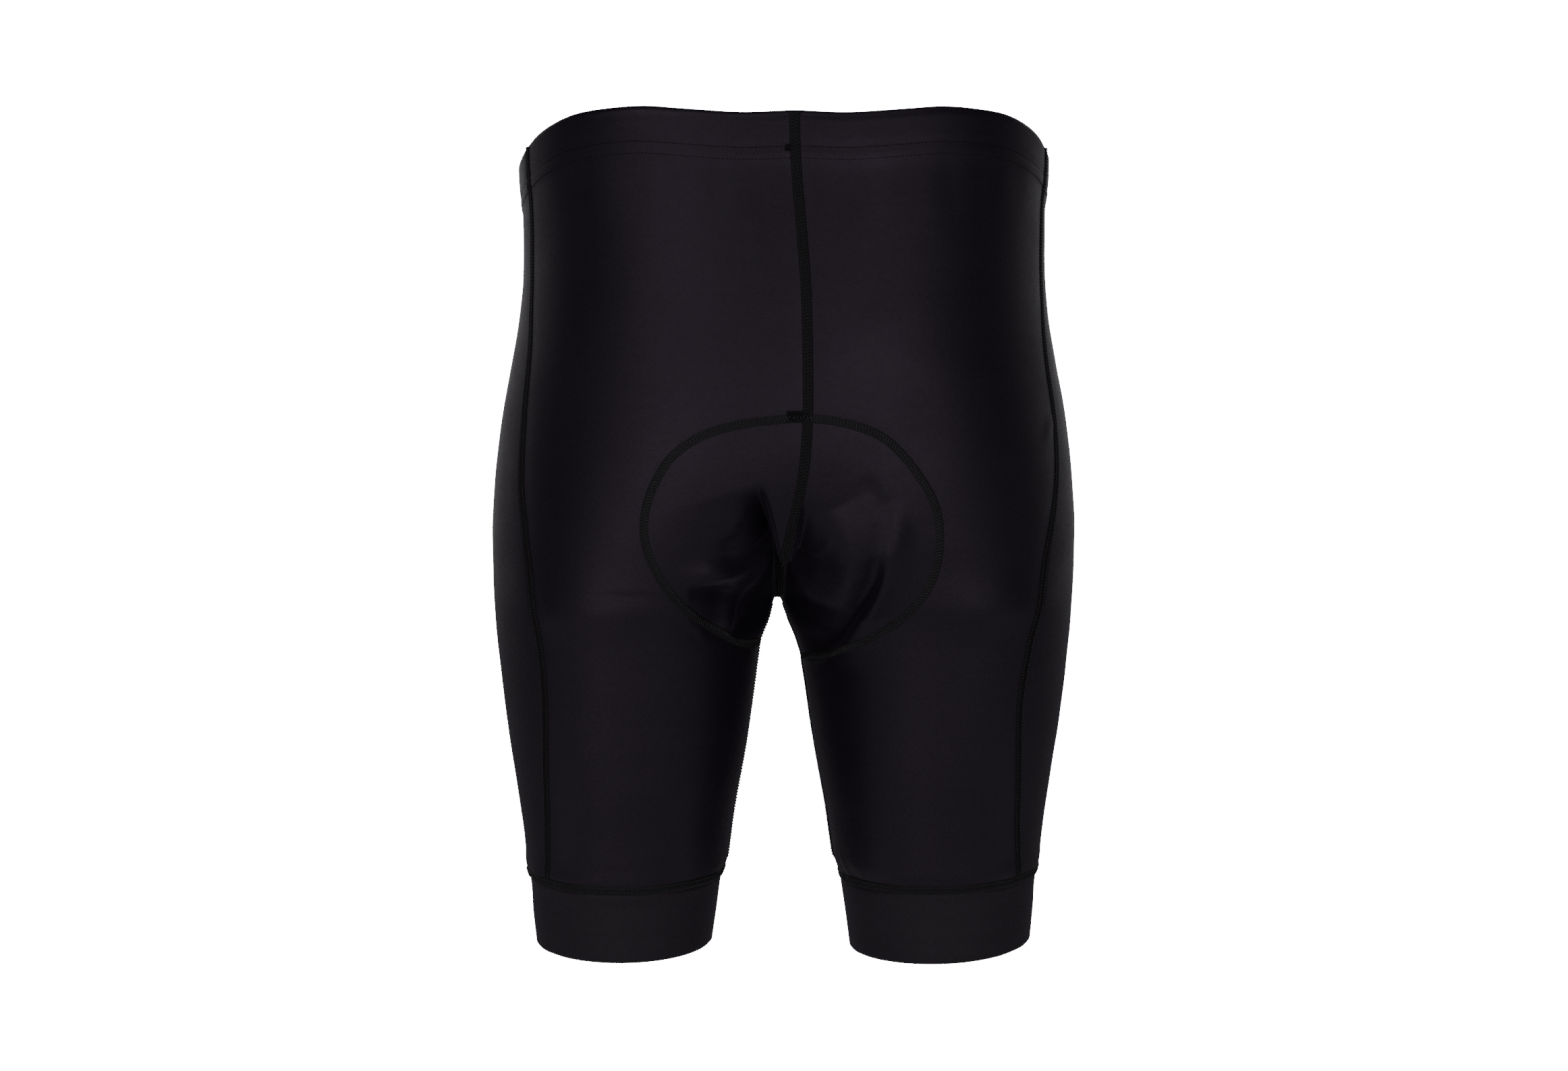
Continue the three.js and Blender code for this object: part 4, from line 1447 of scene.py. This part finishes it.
def node_of(tree: bpy.types.NodeTree, kind: str, **values: object) -> bpy.types.Node:
    """Add a node and set its options.

    Args:
        tree: The tree it goes in.
        kind: The node's type name.
        **values: Options of the node.

    Returns:
        The new node.
    """
    node = tree.nodes.new(kind)
    for name, value in values.items():
        setattr(node, name, value)
    return node


def arithmetic(tree: bpy.types.NodeTree, operation: str, *inputs: object) -> bpy.types.NodeSocket:
    """Add a Math node.

    Args:
        tree: The tree it goes in.
        operation: What it works out.
        *inputs: Sockets or plain numbers.

    Returns:
        Its output.
    """
    node = node_of(tree, "ShaderNodeMath", operation=operation)
    for i, value in enumerate(inputs):
        if isinstance(value, bpy.types.NodeSocket):
            tree.links.new(value, node.inputs[i])
        else:
            node.inputs[i].default_value = value
    return node.outputs[0]


class KnitGroup:
    """The shader group for knitted cloth: loops in courses, uneven yarn, faint streaks, and painted shade
    between loops.
    """

    name = "knit_surface"
    inputs = (("Course", 0.8), ("Wale", 0.6), ("Unevenness", 0.3), ("Streaks", 0.3))
    outputs = ("Height", "Shade", "Rub")

    @classmethod
    def tree(cls) -> bpy.types.NodeTree:
        """Return the group, built the first time it is asked for."""
        if cls.name in bpy.data.node_groups:
            return bpy.data.node_groups[cls.name]
        group = bpy.data.node_groups.new(cls.name, "ShaderNodeTree")
        for name, value in cls.inputs:
            socket = group.interface.new_socket(name, in_out="INPUT", socket_type="NodeSocketFloat")
            socket.default_value = value
        for name in cls.outputs:
            group.interface.new_socket(name, in_out="OUTPUT", socket_type="NodeSocketFloat")
        given = group.nodes.new("NodeGroupInput").outputs
        made = group.nodes.new("NodeGroupOutput").inputs
        where = node_of(group, "ShaderNodeTexCoord").outputs["Object"]
        split = node_of(group, "ShaderNodeSeparateXYZ")
        group.links.new(where, split.inputs[0])
        x, y, z = (arithmetic(group, "MULTIPLY", split.outputs[i], 1000.0) for i in range(3))
        course = arithmetic(group, "DIVIDE", z, given["Course"])
        wale_x = arithmetic(group, "DIVIDE", x, given["Wale"])
        wale_y = arithmetic(group, "DIVIDE", y, given["Wale"])
        loops = node_of(group, "ShaderNodeCombineXYZ")
        for i, socket in enumerate((wale_x, wale_y, course)):
            group.links.new(socket, loops.inputs[i])
        cells = node_of(group, "ShaderNodeTexVoronoi", feature="SMOOTH_F1")
        cells.inputs["Scale"].default_value = 1.0
        cells.inputs["Smoothness"].default_value = 0.6
        cells.inputs["Randomness"].default_value = 0.75
        group.links.new(loops.outputs[0], cells.inputs["Vector"])
        wave = arithmetic(group, "SINE", arithmetic(group, "MULTIPLY", course, 2 * math.pi))
        yarn = node_of(group, "ShaderNodeTexNoise")
        yarn.inputs["Scale"].default_value = 420.0
        yarn.inputs["Detail"].default_value = 3.0
        group.links.new(where, yarn.inputs["Vector"])
        stretch = node_of(group, "ShaderNodeVectorMath", operation="MULTIPLY")
        stretch.inputs[1].default_value = (9.0, 9.0, 260.0)
        group.links.new(where, stretch.inputs[0])
        streak = node_of(group, "ShaderNodeTexNoise")
        streak.inputs["Scale"].default_value = 1.0
        streak.inputs["Detail"].default_value = 4.0
        group.links.new(stretch.outputs[0], streak.inputs["Vector"])
        mottle = node_of(group, "ShaderNodeTexNoise")
        mottle.inputs["Scale"].default_value = 26.0
        mottle.inputs["Detail"].default_value = 3.0
        group.links.new(where, mottle.inputs["Vector"])
        uneven = arithmetic(group, "MULTIPLY", yarn.outputs[0], given["Unevenness"])
        lines = arithmetic(group, "MULTIPLY", streak.outputs[0], given["Streaks"])
        loop_height = arithmetic(group, "SUBTRACT", 1.0, cells.outputs["Distance"])
        height = arithmetic(group, "ADD", loop_height, arithmetic(group, "MULTIPLY", wave, 0.18))
        height = arithmetic(group, "ADD", arithmetic(group, "ADD", height, uneven), lines)
        # The tone output is half the streaks' real tone and half painted shade that darkens the gaps
        # between loops.
        streak_tone_and_loop_shade = arithmetic(group, "MULTIPLY", loop_height, 0.5)
        streak_tone_and_loop_shade = arithmetic(group, "ADD", streak_tone_and_loop_shade, arithmetic(group, "MULTIPLY", streak.outputs[0], 0.5))
        rub = arithmetic(group, "ADD", arithmetic(group, "MULTIPLY", mottle.outputs[0], 0.6),
                         arithmetic(group, "MULTIPLY", yarn.outputs[0], 0.4))
        for socket, name in ((height, "Height"), (streak_tone_and_loop_shade, "Shade"), (rub, "Rub")):
            group.links.new(socket, made[name])
        return group


@dataclass(frozen=True)
class Finish:
    """A cloth or thread: its colours, how it takes the light and the size of its loops."""

    name: str
    slot: str
    dark: tuple[float, float, float]
    light: tuple[float, float, float]
    roughness: tuple[float, float]
    specular: float
    sheen: float
    sheen_tint: tuple[float, float, float]
    course: float
    wale: float
    unevenness: float
    streaks: float
    bump: float
    bump_depth: float
    gloss_tint: tuple[float, float, float] = (1.0, 1.0, 1.0)

    def material(self) -> bpy.types.Material:
        """Return the finish's material, built the first time it is asked for."""
        if self.name in bpy.data.materials:
            return bpy.data.materials[self.name]
        made = bpy.data.materials.new(self.name)
        made.use_nodes = True
        tree = made.node_tree
        shader = tree.nodes["Principled BSDF"]
        shader.inputs["Specular IOR Level"].default_value = self.specular
        shader.inputs["Specular Tint"].default_value = (*self.gloss_tint, 1)
        shader.inputs["Sheen Weight"].default_value = self.sheen
        shader.inputs["Sheen Roughness"].default_value = 0.45
        shader.inputs["Sheen Tint"].default_value = (*self.sheen_tint, 1)
        knit = node_of(tree, "ShaderNodeGroup", node_tree=KnitGroup.tree())
        sizes = (("Course", self.course), ("Wale", self.wale), ("Unevenness", self.unevenness),
                 ("Streaks", self.streaks))
        for name, value in sizes:
            knit.inputs[name].default_value = value
        colour = node_of(tree, "ShaderNodeMix", data_type="RGBA")
        colour.inputs["A"].default_value = (*self.dark, 1)
        colour.inputs["B"].default_value = (*self.light, 1)
        # The knit's tone output mixes the colours: real streak tone, and painted shade darker in the gaps
        # between loops.
        tree.links.new(knit.outputs["Shade"], colour.inputs["Factor"])
        tree.links.new(colour.outputs["Result"], shader.inputs["Base Color"])
        rough = node_of(tree, "ShaderNodeMapRange")
        rough.inputs["From Min"].default_value = 0.3
        rough.inputs["From Max"].default_value = 0.7
        rough.inputs["To Min"].default_value = self.roughness[0]
        rough.inputs["To Max"].default_value = self.roughness[1]
        tree.links.new(knit.outputs["Rub"], rough.inputs["Value"])
        tree.links.new(rough.outputs["Result"], shader.inputs["Roughness"])
        bump = node_of(tree, "ShaderNodeBump")
        bump.inputs["Strength"].default_value = self.bump
        bump.inputs["Distance"].default_value = self.bump_depth * MM
        tree.links.new(knit.outputs["Height"], bump.inputs["Height"])
        tree.links.new(bump.outputs["Normal"], shader.inputs["Normal"])
        return made


BODY_KNIT = Finish(
    name="body_stretch_knit", slot="body_cloth",
    dark=(0.0040, 0.0027, 0.0049), light=(0.0094, 0.0065, 0.0112),
    roughness=(0.43, 0.54), specular=0.33, sheen=0.04, sheen_tint=(0.85, 0.60, 0.95),
    course=0.62, wale=0.5, unevenness=0.3, streaks=0.35,
    bump=0.35, bump_depth=0.12, gloss_tint=(0.94, 0.77, 1.0),
)
GRIPPER_KNIT = Finish(
    name="knitted_gripper", slot="gripper_knit",
    dark=(0.0088, 0.0062, 0.0100), light=(0.0190, 0.0136, 0.0214),
    roughness=(0.60, 0.72), specular=0.26, sheen=0.05, sheen_tint=(0.85, 0.60, 0.95),
    course=0.8, wale=0.7, unevenness=0.35, streaks=0.2,
    bump=0.4, bump_depth=0.14,
)
CASING_BACK = Finish(
    name="casing_inner_side", slot="casing_cloth",
    dark=(0.0050, 0.0044, 0.0058), light=(0.0120, 0.0106, 0.0134),
    roughness=(0.7, 0.82), specular=0.22, sheen=0.2, sheen_tint=(0.5, 0.5, 0.52),
    course=1.1, wale=0.9, unevenness=0.45, streaks=0.3,
    bump=0.5, bump_depth=0.2,
)
PAD_FLEECE = Finish(
    name="brushed_fleece", slot="pad_fleece",
    dark=(0.0050, 0.0050, 0.0056), light=(0.0110, 0.0106, 0.0116),
    roughness=(0.86, 0.96), specular=0.12, sheen=0.35, sheen_tint=(0.5, 0.5, 0.52),
    course=0.5, wale=0.45, unevenness=0.7, streaks=0.15,
    bump=0.45, bump_depth=0.2,
)
COVER_YARN = Finish(
    name="seam_cover_yarn", slot="body_cloth",
    dark=(0.0026, 0.0021, 0.0028), light=(0.0060, 0.0050, 0.0064),
    roughness=(0.6, 0.72), specular=0.16, sheen=0.04, sheen_tint=(0.7, 0.6, 0.74),
    course=0.5, wale=0.4, unevenness=0.4, streaks=0.2,
    bump=0.4, bump_depth=0.1, gloss_tint=(0.97, 0.92, 1.0),
)
PALE_YARN = Finish(
    name="pale_cover_yarn", slot="body_cloth",
    dark=(0.0034, 0.0030, 0.0037), light=(0.0080, 0.0071, 0.0085),
    roughness=(0.6, 0.72), specular=0.24, sheen=0.04, sheen_tint=(0.7, 0.6, 0.74),
    course=0.5, wale=0.4, unevenness=0.4, streaks=0.2,
    bump=0.4, bump_depth=0.1, gloss_tint=(0.97, 0.92, 1.0),
)
# Black thread like the cloth, its colour set lighter than the cloth's as painted sheen.
THREAD = Finish(
    name="sewing_thread", slot="body_cloth",
    dark=(0.0066, 0.0060, 0.0070), light=(0.0160, 0.0148, 0.0164),
    roughness=(0.42, 0.54), specular=0.42, sheen=0.05, sheen_tint=(0.7, 0.66, 0.72),
    course=0.25, wale=0.25, unevenness=0.3, streaks=0.1,
    bump=0.3, bump_depth=0.05, gloss_tint=(0.97, 0.92, 1.0),
)


@dataclass(frozen=True)
class Softbox:
    """A soft light: azimuth, elevation and distance from the garment's middle, size and watts."""

    name: str
    azimuth: float
    elevation: float
    distance: float
    width: float
    height: float
    power: float


SOFTBOXES = (
    Softbox("high_left_key", 142, 34, 2.4, 1.1, 0.9, 10),
    Softbox("left_fill", 146, -8, 2.4, 1.0, 0.9, 6.8),
    Softbox("front_fill", 174, -6, 2.4, 1.0, 0.9, 4),
    Softbox("right_fill", 207, 0, 2.4, 1.3, 0.9, 10),
    Softbox("left_rim", 56, 4, 2.4, 1.3, 1.2, 2.2),
    Softbox("right_rim", 296, 4, 2.4, 1.3, 1.2, 2.2),
    Softbox("low_left", 98, -34, 1.8, 1.1, 0.6, 0.8),
    Softbox("low_right", 256, -34, 1.8, 1.1, 0.6, 0.7),
    Softbox("top_bank", 190, 60, 2.2, 1.6, 0.8, 6),
)


@dataclass
class Studio:
    """A pale floor, soft lights and the camera behind the garment."""

    middle: tuple[float, float, float] = (0.0, 0.0, -0.238)
    azimuth: float = 176.0
    elevation: float = 8.0
    distance: float = 1.6
    photo_width: int = 2324
    pixel: float = 0.00041
    floor_level: float = -1.6
    white: float = 18.0
    dim: float = 0.02
    bright: float = 0.8
    bright_from: float = 0.66
    bright_full: float = 0.98

    def direction(self, azimuth: float, elevation: float) -> Vector:
        """Return the direction from the garment's middle at an azimuth and elevation."""
        turn, tilt = math.radians(azimuth), math.radians(elevation)
        return Vector((math.sin(turn) * math.cos(tilt), -math.cos(turn) * math.cos(tilt), math.sin(tilt)))

    def camera(self) -> bpy.types.Object:
        """Make the camera that frames the garment as the photograph does."""
        data = bpy.data.cameras.new("view")
        data.sensor_width = 36.0
        data.sensor_fit = "HORIZONTAL"
        data.lens = data.sensor_width * self.distance / (self.photo_width * self.pixel)
        view = bpy.data.objects.new("view", data)
        towards = self.direction(self.azimuth, self.elevation)
        view.location = Vector(self.middle) + towards * self.distance
        view.rotation_euler = towards.to_track_quat("Z", "Y").to_euler()
        bpy.context.scene.collection.objects.link(view)
        bpy.context.scene.camera = view
        return view

    def softbox(self, light: Softbox) -> bpy.types.Object:
        """Hang one soft light that faces the garment.

        Args:
            light: Its name, place, size and power.

        Returns:
            The light's object.
        """
        data = bpy.data.lights.new(light.name, "AREA")
        data.shape = "RECTANGLE"
        data.size, data.size_y = light.width, light.height
        data.energy = light.power
        lamp = bpy.data.objects.new(light.name, data)
        towards = self.direction(light.azimuth, light.elevation)
        lamp.location = Vector(self.middle) + towards * light.distance
        lamp.rotation_euler = towards.to_track_quat("Z", "Y").to_euler()
        bpy.context.scene.collection.objects.link(lamp)
        return lamp

    def floor(self) -> bpy.types.Object:
        """Lay a plain pale floor well below the garment."""
        count, radius = 96, 9.0
        turn = 2 * np.pi * np.arange(count) / count
        level = np.full(count, self.floor_level)
        ring = np.stack([radius * np.cos(turn), radius * np.sin(turn), level], axis=1)
        mesh = bpy.data.meshes.new("floor")
        mesh.from_pydata(ring.tolist(), [], [list(range(count))])
        pale = bpy.data.materials.new("pale_floor")
        pale.use_nodes = True
        tree = pale.node_tree
        shader = tree.nodes["Principled BSDF"]
        shader.inputs["Base Color"].default_value = (0.86, 0.86, 0.86, 1)
        shader.inputs["Roughness"].default_value = 0.9
        seen = node_of(tree, "ShaderNodeLightPath").outputs["Is Camera Ray"]
        shader.inputs["Emission Color"].default_value = (1, 1, 1, 1)
        glow = arithmetic(tree, "MULTIPLY", seen, self.white)
        tree.links.new(glow, shader.inputs["Emission Strength"])
        mesh.materials.append(pale)
        ground = bpy.data.objects.new("floor", mesh)
        bpy.context.scene.collection.objects.link(ground)
        return ground

    def surroundings(self) -> None:
        """Fill the room with soft light that is strongest behind the garment, and show it white."""
        world = bpy.data.worlds.new("studio")
        world.use_nodes = True
        tree = world.node_tree
        seen = node_of(tree, "ShaderNodeLightPath").outputs["Is Camera Ray"]
        facing = node_of(tree, "ShaderNodeVectorMath", operation="DOT_PRODUCT")
        facing.inputs[1].default_value = -self.direction(self.azimuth, 0)
        tree.links.new(node_of(tree, "ShaderNodeTexCoord").outputs["Generated"], facing.inputs[0])
        room = node_of(tree, "ShaderNodeMapRange", interpolation_type="SMOOTHSTEP")
        room.inputs["From Min"].default_value = self.bright_from
        room.inputs["From Max"].default_value = self.bright_full
        room.inputs["To Min"].default_value = self.dim
        room.inputs["To Max"].default_value = self.bright
        tree.links.new(facing.outputs["Value"], room.inputs["Value"])
        glow = arithmetic(tree, "MULTIPLY", seen, self.white)
        strength = arithmetic(tree, "ADD", glow, room.outputs[0])
        tree.nodes["Background"].inputs["Color"].default_value = (1, 1, 1, 1)
        tree.links.new(strength, tree.nodes["Background"].inputs["Strength"])
        bpy.context.scene.world = world

    def build(self) -> None:
        """Set up camera, lights, floor and room."""
        self.camera()
        self.floor()
        self.surroundings()
        for light in SOFTBOXES:
            self.softbox(light)


@dataclass
class Shorts:
    """The whole garment."""

    cloths: dict[str, ClothPiece] = field(default_factory=dict)

    def cloth(self) -> None:
        """Make the panels, bands, casing and pad."""
        for side in Side:
            for face in Face:
                self.cloths[f"{face.word}_{side.word}"] = Panel(side, face).build(BODY_KNIT)
            self.cloths[f"cuff_{side.word}"] = Cuff(side).build(GRIPPER_KNIT)
        self.cloths["waist_casing"] = WaistCasing().build(CASING_BACK)
        SeatPad().build(PAD_FLEECE)

    def sewing(self) -> None:
        """Make every seam's band and stitches, and list them with the cloth pieces they belong to."""
        for line in Stitching().lines():
            self.cloths[line.owner].sewing.extend(line.build(THREAD, COVER_YARN, PALE_YARN))
        for cloth in self.cloths.values():
            cloth.declare()


def main() -> None:
    """Build the studio and the garment in order."""
    logging.basicConfig(level=logging.INFO, format="%(name)s: %(message)s")
    Studio().build()
    shorts = Shorts()
    shorts.cloth()
    shorts.sewing()


if __name__ == "__main__":
    main()
